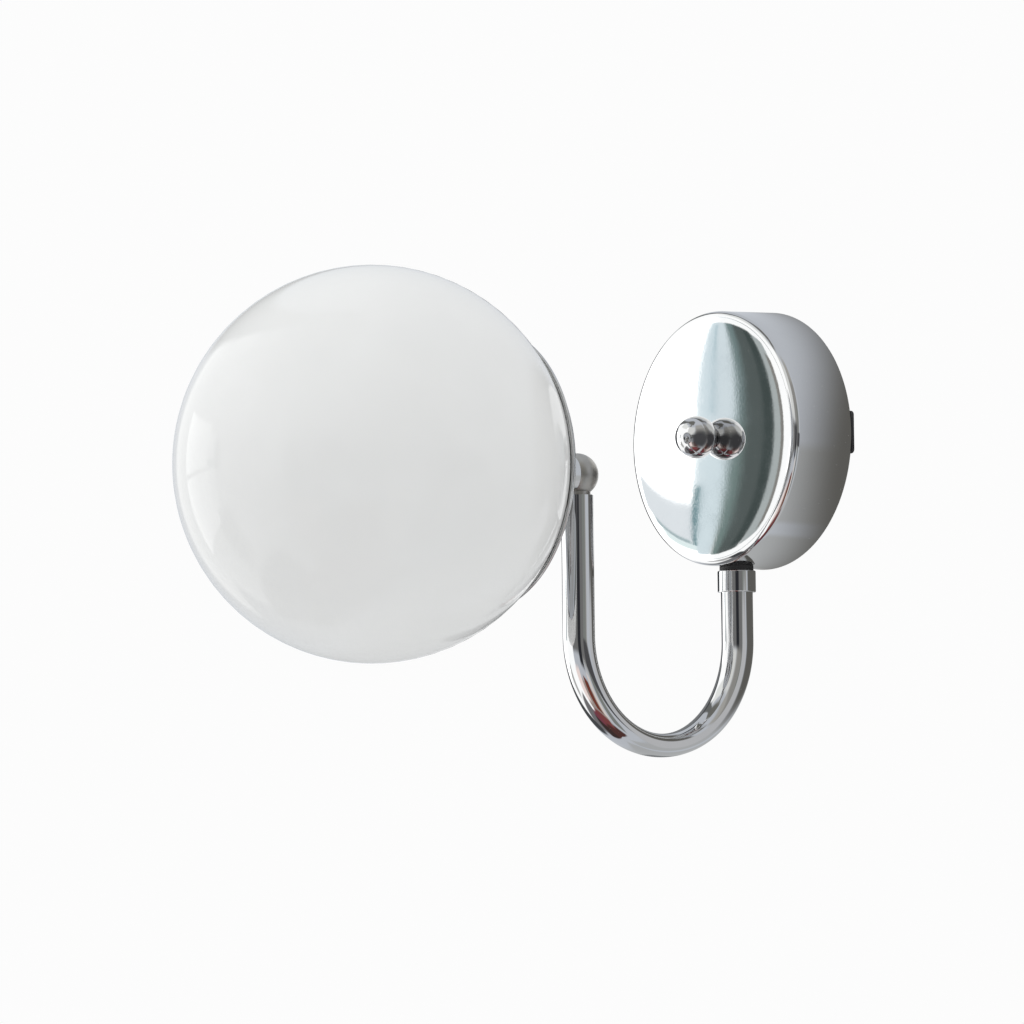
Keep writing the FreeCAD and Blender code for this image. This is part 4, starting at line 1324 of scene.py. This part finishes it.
@dataclass
class Arm(Assembly):
    """The collar under the canopy, the return-bent tube and the ball knuckle on its far leg.

    The block that cuts the knuckle's flat reaches flat_half to each side and up, and down to flat_foot,
    measured from the ball's middle.
    """

    tube_radius: float = 7.5
    tube_wall: float = 1.25
    tube_end_round: float = 0.25
    bend_thickness: float = 11.0
    bend_radius: float = 48.0
    socket: float = 6.0
    edge_break: float = SLEEVE_EDGE
    stem_radius: float = 6.2
    bore_radius: float = NIPPLE_RADIUS
    flat_half: float = 15.0
    flat_foot: float = -9.3
    bore_clearance: float = 1.0

    def build(self) -> None:
        """Makes each piece from the canopy down and round to the knuckle."""
        self.collar()
        self.tube()
        self.knuckle()
        for node in ("arm_nipple", "knuckle_nipple"):
            self.nipple(node)
        self.dress(RUBBER, "outer_saddle", edge=0.15)
        self.dress(ZINC, "inner_saddle", "arm_washer", edge=0.1)
        self.dress(ZINC, "arm_nut", "tube_bush", edge=0.25)

    def collar(self) -> None:
        """Turns the collar with its tube socket below and its threaded hole above."""
        foot, top = low("arm_collar"), high("arm_collar")
        radius, height = top.x, top.z - foot.z
        outline = (
            Outline(self.tube_radius, self.socket)
            .line(self.tube_radius, 0.0)
            .line(radius, 0.0, self.edge_break)
            .line(radius, height, self.edge_break)
            .line(self.bore_radius, height)
            .line(self.bore_radius, self.socket)
        )
        at = (0.0, -self.near_leg(), foot.z)
        self.stand("collar_sleeve", Turning(outline).mesh(), CHROME, "arm_collar", at=at)

    def section(self, turn: float, inset: float, sides: int) -> np.ndarray:
        """One ring of the return bend, flattened from the inside of the curve.

        Args:
            turn: the angle round the bend, from 0 at the near leg to pi at the far leg.
            inset: how far inside the tube's outer skin it lies.
            sides: how many points it has.

        Returns:
            The ring's points in the frame's axes, in millimetres.
        """
        loss = (2.0 * self.tube_radius - self.bend_thickness) * math.sin(turn) ** 2
        deep = self.tube_radius - loss / 2.0 - inset
        wide = self.tube_radius + loss / 4.0 - inset
        reach_out = self.bend_radius + loss / 2.0
        angles = np.arange(sides) * FULL_TURN / sides
        out = reach_out + deep * np.cos(angles)
        y = -(self.near_leg() + self.bend_radius) + out * math.cos(turn)
        z = self.bend_level() - out * math.sin(turn)
        return np.stack([wide * np.sin(angles), y, z], axis=1)

    def near_leg(self) -> float:
        """How far the near leg's axis stands out from the wall."""
        return -(low("arm_collar").y + high("arm_collar").y) / 2.0

    def bend_level(self) -> float:
        """The height of the bend's centre."""
        return low("arm_tube").z + self.bend_radius + self.tube_radius

    def skin(
        self, inset: float, sides: int = 112, stations: int = 168, leg_steps: int = 24
    ) -> list[np.ndarray]:
        """The rings of the tube's skin from the near leg's top to the far leg's top.

        Args:
            inset: how far inside the outer skin it lies.
            sides: how many points each ring has.
            stations: how many steps the bend has.
            leg_steps: how many steps each leg has.

        Returns:
            The rings.
        """
        first, last = self.section(0.0, inset, sides), self.section(math.pi, inset, sides)
        level = self.bend_level()
        near_top, far_top = low("arm_collar").z + self.socket, high("arm_tube").z
        lift = np.array([0.0, 0.0, 1.0])
        near = [first + lift * (near_top - level) * (1.0 - step / leg_steps) for step in range(leg_steps)]
        bend = [self.section(math.pi * step / stations, inset, sides) for step in range(stations + 1)]
        far = [last + lift * (far_top - level) * step / leg_steps for step in range(1, leg_steps + 1)]
        return near + bend + far

    def tube(self) -> None:
        """Skins the tube outside and inside, with its ends rounded over."""
        outside, inside = self.skin(0.0), self.skin(self.tube_wall)
        middle = self.skin(self.tube_wall / 2.0)
        drop = np.array([0.0, 0.0, self.tube_end_round])
        outside[0], outside[-1] = outside[0] - drop, outside[-1] - drop
        rows = [*outside, middle[-1], *reversed(inside), middle[0]]
        self.stand("return_bend_tube", grid_mesh(np.array(rows), capped=False), CHROME, "arm_tube")

    def knuckle(self) -> None:
        """Turns the ball with its stem, and cuts the neck's flat and the bores that meet in its middle."""
        radius = high("ball_knuckle").x
        level = high("ball_knuckle").z - radius
        foot = level - low("ball_knuckle").z
        seat = -along_ball(radius, self.stem_radius)
        outline = (
            Outline(0.0, -foot)
            .line(self.stem_radius, -foot)
            .line(self.stem_radius, seat)
            .arc(radius, 0.0, (0.0, 0.0))
            .arc(0.0, radius, (0.0, 0.0))
        )
        turning = Turning(outline)
        flat, half = self.far_leg() - reach("ball_knuckle"), self.flat_half
        block = box_mesh((-half, flat - half, self.flat_foot), (half, flat, half))
        middle, clear = Vector((0.0, 0.0, 0.0)), self.bore_clearance
        lower = rod(self.bore_radius, Vector((0.0, 0.0, -foot - clear)), middle)
        front = rod(self.bore_radius, middle, Vector((0.0, -radius - clear, 0.0)))
        ball = bored(turning.mesh(), [block, lower, front])
        turning.shade(ball)
        self.stand("knuckle_ball", ball, SATIN, "ball_knuckle", at=(0.0, -self.far_leg(), level))

    def far_leg(self) -> float:
        """How far the far leg's axis stands out from the wall."""
        return self.near_leg() + 2.0 * self.bend_radius

    def nipple(self, node: str) -> None:
        """Makes a hollow nipple that stands upright.

        Args:
            node: the frame's node that it stands for.
        """
        foot, top = low(node), high(node)
        mesh = Nipple().mesh(top.x, top.z - foot.z)
        self.stand(f"{node}_thread", mesh, ZINC, node, at=(0.0, (foot.y + top.y) / 2.0, foot.z))


@dataclass
class Neck(Assembly):
    """The sleeve behind the globe, the dish, and what clamps the dish and grips the globe."""

    dish_wall: float = 1.0
    dish_sides: int = 320
    hub_radius: float = 12.0
    bore_radius: float = NIPPLE_RADIUS
    edge_break: float = SLEEVE_EDGE

    def build(self) -> None:
        """Makes the sleeve, the nipple and the dish, and dresses the rest."""
        self.sleeve()
        self.nipple()
        self.dish()
        self.dress(ZINC, "dish_nut", edge=0.25)
        self.dress(ZINC, "dish_washer", "clip_plate", edge=0.15)
        self.dress(ZINC, "clip_rivets", edge=0.2)
        self.dress(SPRING, "spring_clip_1", "spring_clip_2", "spring_clip_3", edge=0.08)
        self.dress(SILICONE, "dish_gasket")

    def sleeve(self) -> None:
        """Turns the plain sleeve between the knuckle and the dish."""
        radius, back = high("neck_collar").x, rear("neck_collar")
        length = reach("neck_collar") - back
        outline = (
            Outline(self.bore_radius, length)
            .line(self.bore_radius, 0.0)
            .line(radius, 0.0, self.edge_break)
            .line(radius, length, self.edge_break)
        )
        mesh, at = Turning(outline).mesh(), on_globe_axis(back)
        self.stand("neck_sleeve", mesh, CHROME, "neck_collar", lay=Lay.OUTWARD, at=at)

    def nipple(self) -> None:
        """Makes the nipple along the globe's axis."""
        back = rear("neck_nipple")
        mesh = Nipple().mesh(high("neck_nipple").x, reach("neck_nipple") - back)
        self.stand("neck_nipple_thread", mesh, ZINC, "neck_nipple", lay=Lay.OUTWARD, at=on_globe_axis(back))

    def dish(self) -> None:
        """Turns the dish, a part of a ball about the globe's centre, with its rim rounded over."""
        back, half_wall = globe_reach() - rear("globe_dish"), self.dish_wall / 2.0
        outer = math.hypot(back, self.hub_radius)
        inner, middle = outer - self.dish_wall, outer - half_wall
        edge = math.asin((high("globe_dish").x - half_wall) / outer)
        across, along = math.sin(edge), math.cos(edge)
        roll = (middle * across, -middle * along)
        inner_hub = along_ball(inner, self.hub_radius)
        outline = (
            Outline(self.bore_radius, -back)
            .line(self.hub_radius, -back)
            .arc(outer * across, -outer * along, (0.0, 0.0))
            .arc(roll[0] + half_wall * along, roll[1] + half_wall * across, roll)
            .arc(inner * across, -inner * along, roll)
            .arc(self.hub_radius, -inner_hub, (0.0, 0.0))
            .line(self.bore_radius, -inner_hub)
        )
        mesh, at = Turning(outline, self.dish_sides).mesh(), on_globe_axis(globe_reach())
        self.stand("dish_shell", mesh, CHROME, "globe_dish", lay=Lay.OUTWARD, at=at)


@dataclass
class Globe(Assembly):
    """The blown globe with the ground lip of its mouth."""

    body = "globe"
    wall: float = 3.0
    mouth: float = 40.0
    lip: float = 0.35
    outer_break: float = 0.8
    inner_break: float = 0.5
    sides: int = 256

    def build(self) -> None:
        """Turns the globe's two skins and the lip between them."""
        radius = high("glass_globe").z - globe_level()
        inner = radius - self.wall
        lip = self.mouth + self.lip
        outline = (
            Outline(self.mouth, self.outer_break - along_ball(radius, self.mouth))
            .line(lip, -along_ball(radius, lip))
            .arc(radius, 0.0, (0.0, 0.0))
            .arc(0.0, radius, (0.0, 0.0))
            .line(0.0, inner)
            .arc(inner, 0.0, (0.0, 0.0))
            .arc(lip, -along_ball(inner, lip), (0.0, 0.0))
            .line(self.mouth, -along_ball(inner, self.mouth) - self.inner_break)
        )
        mesh, at = Turning(outline, self.sides).mesh(), on_globe_axis(globe_reach())
        # the middle and the skin set where the painted inner glow of the glass begins
        middle, skin = tuple(part * MM for part in at), (radius - self.wall / 2.0) * MM
        opal = OpalGlass("opal_glass", middle=middle, skin=skin)
        self.stand("opal_globe", mesh, opal, "glass_globe", lay=Lay.OUTWARD, at=at)


@dataclass
class Lampholder(Assembly):
    """The lampholder on the neck's nipple."""

    shell_wall: float = 0.4
    shell_eye: float = 3.0
    shell_thread_depth: float = 0.6
    shell_foot: float = 1.2
    shell_mouth: float = 1.0
    screw_width: float = 3.6
    screw_crown: float = 0.6
    screw_slot: tuple[float, float] = (0.9, 1.1)

    def build(self) -> None:
        """Rolls the screw shell, slots the clamp screws, and dresses the rest."""
        self.dress(HOLDER, "holder_cap", "holder_skirt", edge=0.2)
        self.dress(CERAMIC, "holder_insulator", edge=0.3)
        self.dress(BRASS, "centre_contact", edge=0.1)
        self.shell()
        first, last = low("holder_screws"), high("holder_screws")
        radius = self.screw_width / 2.0
        spots = [Vector((x, 0.0, 0.0)) for x in (first.x + radius, last.x - radius)]
        width, depth = self.screw_slot
        screw = Screw(radius, last.y - first.y, self.screw_crown, slot_width=width, slot_depth=depth)
        mesh, at = screw.mesh(spots), on_globe_axis(-last.y)
        self.stand("holder_clamp_screws", mesh, ZINC, "holder_screws", lay=Lay.OUTWARD, at=at)

    def shell(self) -> None:
        """Rolls the thread of the screw shell, whose crests stand out from its plain bore."""
        back, radius, wall = rear("screw_shell"), high("screw_shell").x, self.shell_wall
        length, bore, crest = reach("screw_shell") - back, radius - wall, self.shell_thread_depth
        thread = Thread(radius + crest, crest, LAMP_THREAD_PITCH, rolled=True)
        start, end = self.shell_foot, length - self.shell_mouth
        eye, wide, wide_bore, step = self.shell_eye, radius + crest, bore + crest, start + wall
        outer = ((eye, 0.0), (radius, 0.0), (radius, start), (wide, step), (wide, end), (wide, length))
        inner = ((wide_bore, length), (wide_bore, step), (bore, step - wall / 2.0), (bore, wall), (eye, wall))
        mesh, at = rolled(outer, inner, thread, start, end), on_globe_axis(back)
        self.stand("rolled_screw_shell", mesh, BRASS, "screw_shell", lay=Lay.OUTWARD, at=at)


@dataclass
class Lamp(Assembly):
    """The screw-cap lamp inside the globe."""

    body = "lamp"
    cap_thread_depth: float = 0.65
    cap_wall: float = 0.5
    cap_shoulder: float = 3.0
    cap_rim: float = 1.2
    floor_radius: float = 4.4
    tip_radius: float = 3.2

    def build(self) -> None:
        """Rolls the cap's thread, and dresses the rest."""
        self.cap()
        self.dress(NICKEL, "lamp_tip_contact", edge=0.3)
        self.dress(LAMP_WHITE, "lamp_housing", edge=0.3)
        self.dress(LAMP_DOME, "lamp_dome")

    def cap(self) -> None:
        """Rolls the screw cap, with its cone at the tip."""
        back, radius, wall = rear("lamp_cap"), high("lamp_cap").x, self.cap_wall
        length, bore, rise = reach("lamp_cap") - back, radius - wall, self.cap_shoulder
        tip, floor = self.tip_radius, self.floor_radius
        outer = ((tip, 0.0), (floor, 0.0), (radius, rise), (radius, length))
        inner = ((bore, length), (bore, rise + wall), (floor, wall), (tip, wall))
        thread = Thread(radius, self.cap_thread_depth, LAMP_THREAD_PITCH, rolled=True)
        mesh, at = rolled(outer, inner, thread, rise, length - self.cap_rim), on_globe_axis(back)
        self.stand("rolled_lamp_cap", mesh, NICKEL, "lamp_cap", lay=Lay.OUTWARD, at=at)


# ---- studio -------------------------------------------------------------------------------------


@dataclass(frozen=True)
class Viewpoint:
    """The camera: where it stands round the target, in degrees and millimetres, and its lens."""

    azimuth: float = 51.668
    elevation: float = -4.287
    roll: float = -0.674
    distance: float = 2966.2
    focal_pixels: float = 6378.7
    target: Point = (0.0, -91.5, -30.0)
    slide_right: float = -50.527
    slide_up: float = -6.327
    picture: float = 1024.0
    sensor: float = 36.0
    nearest: float = 50.0
    farthest: float = 50000.0

    def place(self) -> None:
        """Stands the camera and makes it the scene's own."""
        turn, tilt, roll = (math.radians(angle) for angle in (self.azimuth, self.elevation, self.roll))
        level, height = math.cos(tilt), math.sin(tilt)
        back = Vector((math.sin(turn) * level, -math.cos(turn) * level, height))
        right = Vector((math.cos(turn), math.sin(turn), 0.0))
        up = back.cross(right)
        rolled_right = right * math.cos(roll) + up * math.sin(roll)
        rolled_up = up * math.cos(roll) - right * math.sin(roll)
        spot = Vector(self.target) + back * self.distance + right * self.slide_right + up * self.slide_up
        camera = placed("camera", bpy.data.cameras.new("camera"))
        camera.data.lens = self.focal_pixels * self.sensor / self.picture
        camera.data.sensor_width = self.sensor
        camera.data.clip_start = self.nearest * MM
        camera.data.clip_end = self.farthest * MM
        turned = Matrix((rolled_right, rolled_up, back)).transposed().to_4x4()
        camera.matrix_world = Matrix.Translation(spot * MM) @ turned
        bpy.context.scene.camera = camera


def tone(red: int, green: int, blue: int) -> Colour:
    """The linear colour of a screen colour, whose parts run from 0 to 255, by the standard screen curve."""
    parts = (part / 255.0 for part in (red, green, blue))
    return tuple(part / 12.92 if part < 0.04045 else ((part + 0.055) / 1.055) ** 2.4 for part in parts)


@dataclass(frozen=True)
class Panel:
    """A soft-edged patch of the surround, which only shows where something glossy mirrors it.

    Its middle is at an azimuth (0 towards -Y, 90 towards +X) and an elevation, its width and height are
    across those, and its edge is how far it fades beyond them, all in degrees. It leans by this many
    degrees of azimuth for each degree of elevation.
    """

    azimuth: float
    elevation: float
    width: float
    height: float
    edge: float
    colour: Colour
    lean: float = 0.0
    gain: float = 1.0

    def over(self, graph: Graph, azimuth: Value, elevation: Value, under: object) -> bpy.types.NodeSocket:
        """Lays the panel over what is behind it.

        Args:
            graph: the surround's node tree.
            azimuth: the direction's azimuth.
            elevation: the direction's elevation.
            under: the colour behind the panel.

        Returns:
            The colour with the panel in it.
        """
        rise = elevation - self.elevation
        across = abs(azimuth - rise * self.lean - self.azimuth) if self.lean else abs(azimuth - self.azimuth)
        beside = across.ramp(self.width / 2.0 + self.edge, self.width / 2.0)
        above = abs(rise).ramp(self.height / 2.0 + self.edge, self.height / 2.0)
        return graph.blend(beside * above, under, levelled(self.colour, self.gain * STUDIO_GAIN))


def levelled(colour: Colour, level: float) -> Colour:
    """The colour at another level of light."""
    return tuple(part * level for part in colour)


WHITE = tone(253, 254, 254)
STUDIO_GAIN = 1.42  # what a mirrored colour gains, as chrome gives back a little less than it gets

PANELS = (
    # the room: a paler back, a duller right side, a dark beam that slants overhead and a brown floor
    Panel(-145.0, -8.0, 26.0, 24.0, 8.0, tone(210, 211, 212)),
    Panel(76.0, 26.0, 46.0, 60.0, 14.0, tone(156, 155, 151)),
    Panel(145.0, -42.0, 40.0, 60.0, 10.0, tone(164, 166, 167)),
    Panel(-145.0, -42.0, 40.0, 60.0, 10.0, tone(164, 166, 167)),
    Panel(80.0, 20.0, 46.0, 36.0, 10.0, tone(134, 133, 130)),
    Panel(16.0, 30.0, 44.0, 30.0, 10.0, tone(205, 206, 204)),
    Panel(-20.0, 74.0, 90.0, 14.0, 8.0, tone(102, 102, 98)),
    Panel(0.0, -80.0, 190.0, 30.0, 8.0, tone(76, 50, 47)),
    Panel(-68.0, -66.0, 54.0, 16.0, 6.0, tone(58, 46, 44)),
    Panel(30.0, -48.0, 70.0, 30.0, 6.0, tone(150, 138, 132)),
    Panel(20.0, -66.0, 84.0, 12.0, 4.0, tone(116, 63, 64)),
    Panel(-24.0, -64.0, 26.0, 14.0, 5.0, tone(112, 60, 72)),
    Panel(46.0, -40.0, 19.0, 26.0, 3.0, tone(106, 58, 47)),
    Panel(50.0, 0.0, 92.0, 12.0, 6.0, tone(106, 106, 106)),
    Panel(52.0, -4.0, 14.0, 18.0, 6.0, tone(40, 41, 45)),
    Panel(69.0, -34.0, 9.0, 32.0, 3.0, tone(206, 198, 192)),
    Panel(92.0, -12.0, 14.0, 70.0, 4.0, tone(118, 121, 118)),
    Panel(102.0, -3.5, 40.0, 9.0, 1.6, tone(72, 72, 74)),
    # the two big soft boxes on the left, and what stands between, below and above them
    Panel(-86.0, 3.0, 24.0, 54.0, 6.0, WHITE),
    Panel(-42.0, -2.0, 80.0, 90.0, 6.0, WHITE),
    Panel(8.0, -36.0, 18.0, 22.0, 7.0, tone(228, 212, 208)),
    Panel(-88.0, 42.0, 14.0, 46.0, 6.0, tone(98, 100, 99), lean=1.2),
    Panel(-38.0, 46.0, 46.0, 14.0, 5.0, tone(221, 223, 221)),
    Panel(7.0, 60.0, 9.0, 12.0, 4.0, tone(112, 111, 107)),
    Panel(-56.0, -50.0, 66.0, 12.0, 5.0, tone(108, 107, 109)),
    Panel(-10.0, -53.0, 12.0, 8.0, 4.0, WHITE),
    Panel(-51.0, -26.0, 10.0, 16.0, 6.0, tone(166, 166, 165)),
    # the panes that also show in the glass
    Panel(-69.0, 8.3, 26.0, 13.4, 0.9, WHITE, gain=1.9),
    Panel(-69.0, -9.2, 26.0, 17.6, 0.9, WHITE, gain=1.9),
    Panel(-53.0, 6.6, 5.0, 10.6, 0.9, WHITE, gain=1.6),
    Panel(-53.0, -6.6, 5.0, 13.0, 0.9, WHITE, gain=1.6),
    # the narrow things that the canopy's face mirrors
    Panel(-53.8, 2.75, 6.4, 1.6, 0.3, tone(221, 227, 231)),
    Panel(-53.2, 1.6, 4.0, 0.25, 0.3, tone(163, 180, 184)),
    Panel(-52.6, 0.9, 3.2, 0.6, 0.4, tone(224, 238, 238)),
    Panel(-49.52, 7.4, 0.95, 5.4, 0.12, tone(208, 220, 225)),
    Panel(-50.2, 2.1, 1.0, 5.0, 0.12, tone(208, 222, 227), lean=0.18),
    Panel(-49.84, 7.4, 0.04, 4.0, 0.13, tone(140, 168, 178)),
    Panel(-50.08, 7.6, 0.2, 4.6, 0.3, tone(205, 220, 226)),
    Panel(-50.6, 2.7, 0.1, 2.6, 0.14, tone(84, 124, 130), lean=0.26),
    Panel(-46.0, 4.9, 2.2, 9.8, 0.3, tone(167, 174, 174)),
    Panel(-45.05, 4.4, 0.7, 7.6, 0.35, tone(128, 127, 123)),
    Panel(-48.62, 7.6, 0.6, 5.0, 0.36, tone(112, 130, 130)),
    Panel(-49.1, 2.3, 0.7, 5.4, 0.34, tone(112, 130, 127), lean=0.12),
    Panel(-47.9, 4.9, 1.5, 10.2, 0.45, tone(82, 90, 89), lean=0.09),
    Panel(-47.4, 5.2, 0.6, 9.0, 0.35, tone(64, 73, 72), lean=0.09),
)


@dataclass(frozen=True)
class Card:
    """A soft oval card near the lamp, which only shows where something glossy mirrors it.

    It stands at a point and faces another, both in metres, and is clear from behind. It is solid out to
    this core, as a share of its half sizes, and fades from there to its edge.
    """

    name: str
    at: Point
    facing: Point
    half_width: float
    half_height: float
    core: float
    colour: Colour

    def stand(self) -> None:
        """Makes the card and its finish."""
        wide, tall = self.half_width, self.half_height
        mesh = bpy.data.meshes.new(self.name)
        corners = [(-wide, -tall, 0.0), (wide, -tall, 0.0), (wide, tall, 0.0), (-wide, tall, 0.0)]
        mesh.from_pydata(corners, [], [(0, 1, 2, 3)])
        sheet = placed(self.name, mesh)
        sheet.matrix_world = facing(self.at, Vector(self.facing) - Vector(self.at))
        made, graph = new_material(self.name)
        spot = graph.place()
        out = distance(graph.part_of(spot, "X") / wide, graph.part_of(spot, "Y") / tall)
        front = 1.0 - Value(graph, graph.node("ShaderNodeNewGeometry").outputs["Backfacing"])
        gone = graph.node("ShaderNodeBsdfTransparent").outputs[0]
        colour = levelled(self.colour, STUDIO_GAIN)
        glow = graph.node("ShaderNodeEmission", inputs={"Color": colour, "Strength": 1.0}).outputs[0]
        graph.show(graph.either(out.ramp(1.0, self.core) * front, gone, glow))
        mesh.materials.append(made)
        sheet.visible_camera = False
        sheet.visible_diffuse = False
        sheet.visible_shadow = False
        sheet.visible_transmission = False


DARK_EDGE = tone(66, 68, 70)
PALE_EDGE = tone(110, 112, 114)

CARDS = (
    Card("grey_card", (0.038, 0.07, -0.008), (0.038, -1.0, -0.008), 0.176, 0.178, 0.68, tone(89, 88, 85)),
    Card("pale_card", (0.075, -0.018, -0.14), (0.0, -0.165, -0.14), 0.042, 0.09, 0.7, tone(174, 175, 177)),
    # the dark right half of the ball
    Card("ball_card", (0.029, -0.058, -0.008), (0.0, -0.052, 0.0), 0.046, 0.042, 0.3, tone(66, 66, 68)),
    # the dark edges on the left, which outline the metal there and leave the glass
    Card("canopy_edge_card", (-0.25, 0.03, 0.01), (0.0, 0.03, 0.01), 0.15, 0.13, 0.85, DARK_EDGE),
    Card("arm_edge_card", (-0.05, -0.103, -0.14), (0.0, -0.103, -0.14), 0.022, 0.062, 0.75, DARK_EDGE),
    Card("leg_edge_card", (-0.05, -0.028, -0.14), (0.0, -0.028, -0.14), 0.02, 0.062, 0.75, PALE_EDGE),
)


@dataclass
class Studio:
    """The soft white studio: a white backdrop, the surround that chrome mirrors, lamps and a pale floor."""

    backdrop: Colour = (0.975, 0.975, 0.975)
    fill: Colour = (0.735, 0.735, 0.735)
    back: Colour = tone(177, 181, 187)
    floor_colour: Colour = (0.9, 0.9, 0.9)
    floor_level: float = -0.62
    floor_radius: float = 2.2
    floor_thickness: float = 0.004
    floor_sides: int = 96
    floor_fade: tuple[float, float] = (0.45, 0.98)
    middle: Point = (0.0, -0.16, -0.03)

    def build(self) -> None:
        """Sets the view, and makes the surround, the floor and the lamps."""
        bpy.context.scene.view_settings.view_transform = "Standard"
        self.surround()
        for card in CARDS:
            card.stand()
        self.floor()
        self.lamp("key", at=(-1.6, -1.9, 1.3), size=1.2, power=9.0)
        self.lamp("top", at=(0.4, -0.6, 2.2), size=1.6, power=9.0)

    def surround(self) -> None:
        """White for what is seen directly, an even level for its light, and panels for what is mirrored."""
        world = bpy.data.worlds.new("surround")
        bpy.context.scene.world = world
        world.use_nodes = True
        graph = Graph(world.node_tree)
        way = graph.node("ShaderNodeTexCoord").outputs["Generated"]
        outward = 0.0 - graph.part_of(way, "Y")
        azimuth = graph.math("ARCTAN2", graph.part_of(way, "X"), outward) * math.degrees(1.0)
        elevation = graph.math("ARCSINE", graph.part_of(way, "Z")) * math.degrees(1.0)
        mirrored: object = levelled(self.back, STUDIO_GAIN)
        for panel in PANELS:
            mirrored = panel.over(graph, azimuth, elevation, mirrored)
        path = graph.node("ShaderNodeLightPath").outputs
        straight, through = (Value(graph, path[f"Is {kind} Ray"]) for kind in ("Camera", "Transmission"))
        seen = (straight + through).ramp(0.0, 1.0)
        light, wall, mirror = (
            graph.node("ShaderNodeBackground", inputs={"Color": colour, "Strength": 1.0}).outputs[0]
            for colour in (self.fill, self.backdrop, mirrored)
        )
        plain = graph.either(seen, light, wall)
        graph.show(graph.either(path["Is Glossy Ray"], plain, mirror), "ShaderNodeOutputWorld")

    def lamp(self, name: str, at: Point, size: float, power: float) -> None:
        """Hangs a soft square lamp that faces the object.

        Args:
            name: its name.
            at: where it hangs, in metres.
            size: its side, in metres.
            power: its power, in watts.
        """
        light = bpy.data.lights.new(name, "AREA")
        light.size = size
        light.energy = power
        lamp = placed(name, light)
        lamp.visible_glossy = False
        lamp.matrix_world = facing(at, Vector(at) - Vector(self.middle))

    def floor(self) -> None:
        """Lays a pale round floor that fades out at its edge."""
        outline = plain_disc(self.floor_radius / MM, self.floor_thickness / MM)
        mesh = Turning(outline, self.floor_sides).mesh()
        mesh.transform(TO_METRES)
        floor = placed("floor", mesh)
        floor.location.z = self.floor_level
        made, graph = new_material("pale_floor")
        spot = graph.place()
        far = distance(graph.part_of(spot, "X"), graph.part_of(spot, "Y"))
        paint = graph.node("ShaderNodeBsdfDiffuse", inputs={"Color": self.floor_colour}).outputs[0]
        gone = graph.node("ShaderNodeBsdfTransparent").outputs[0]
        fade = far.ramp(*(self.floor_radius * share for share in self.floor_fade))
        graph.show(graph.either(fade, paint, gone))
        mesh.materials.append(made)
        floor.visible_glossy = False


def main() -> None:
    """Builds the studio and every sub-assembly, in order."""
    logging.basicConfig(level=logging.INFO, format="%(name)s: %(message)s")
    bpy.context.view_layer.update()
    Viewpoint().place()
    Studio().build()
    for part in (WallFixing(), Canopy(), Finial(), Arm(), Neck(), Globe(), Lampholder(), Lamp()):
        part.build()


if __name__ == "__main__":
    main()
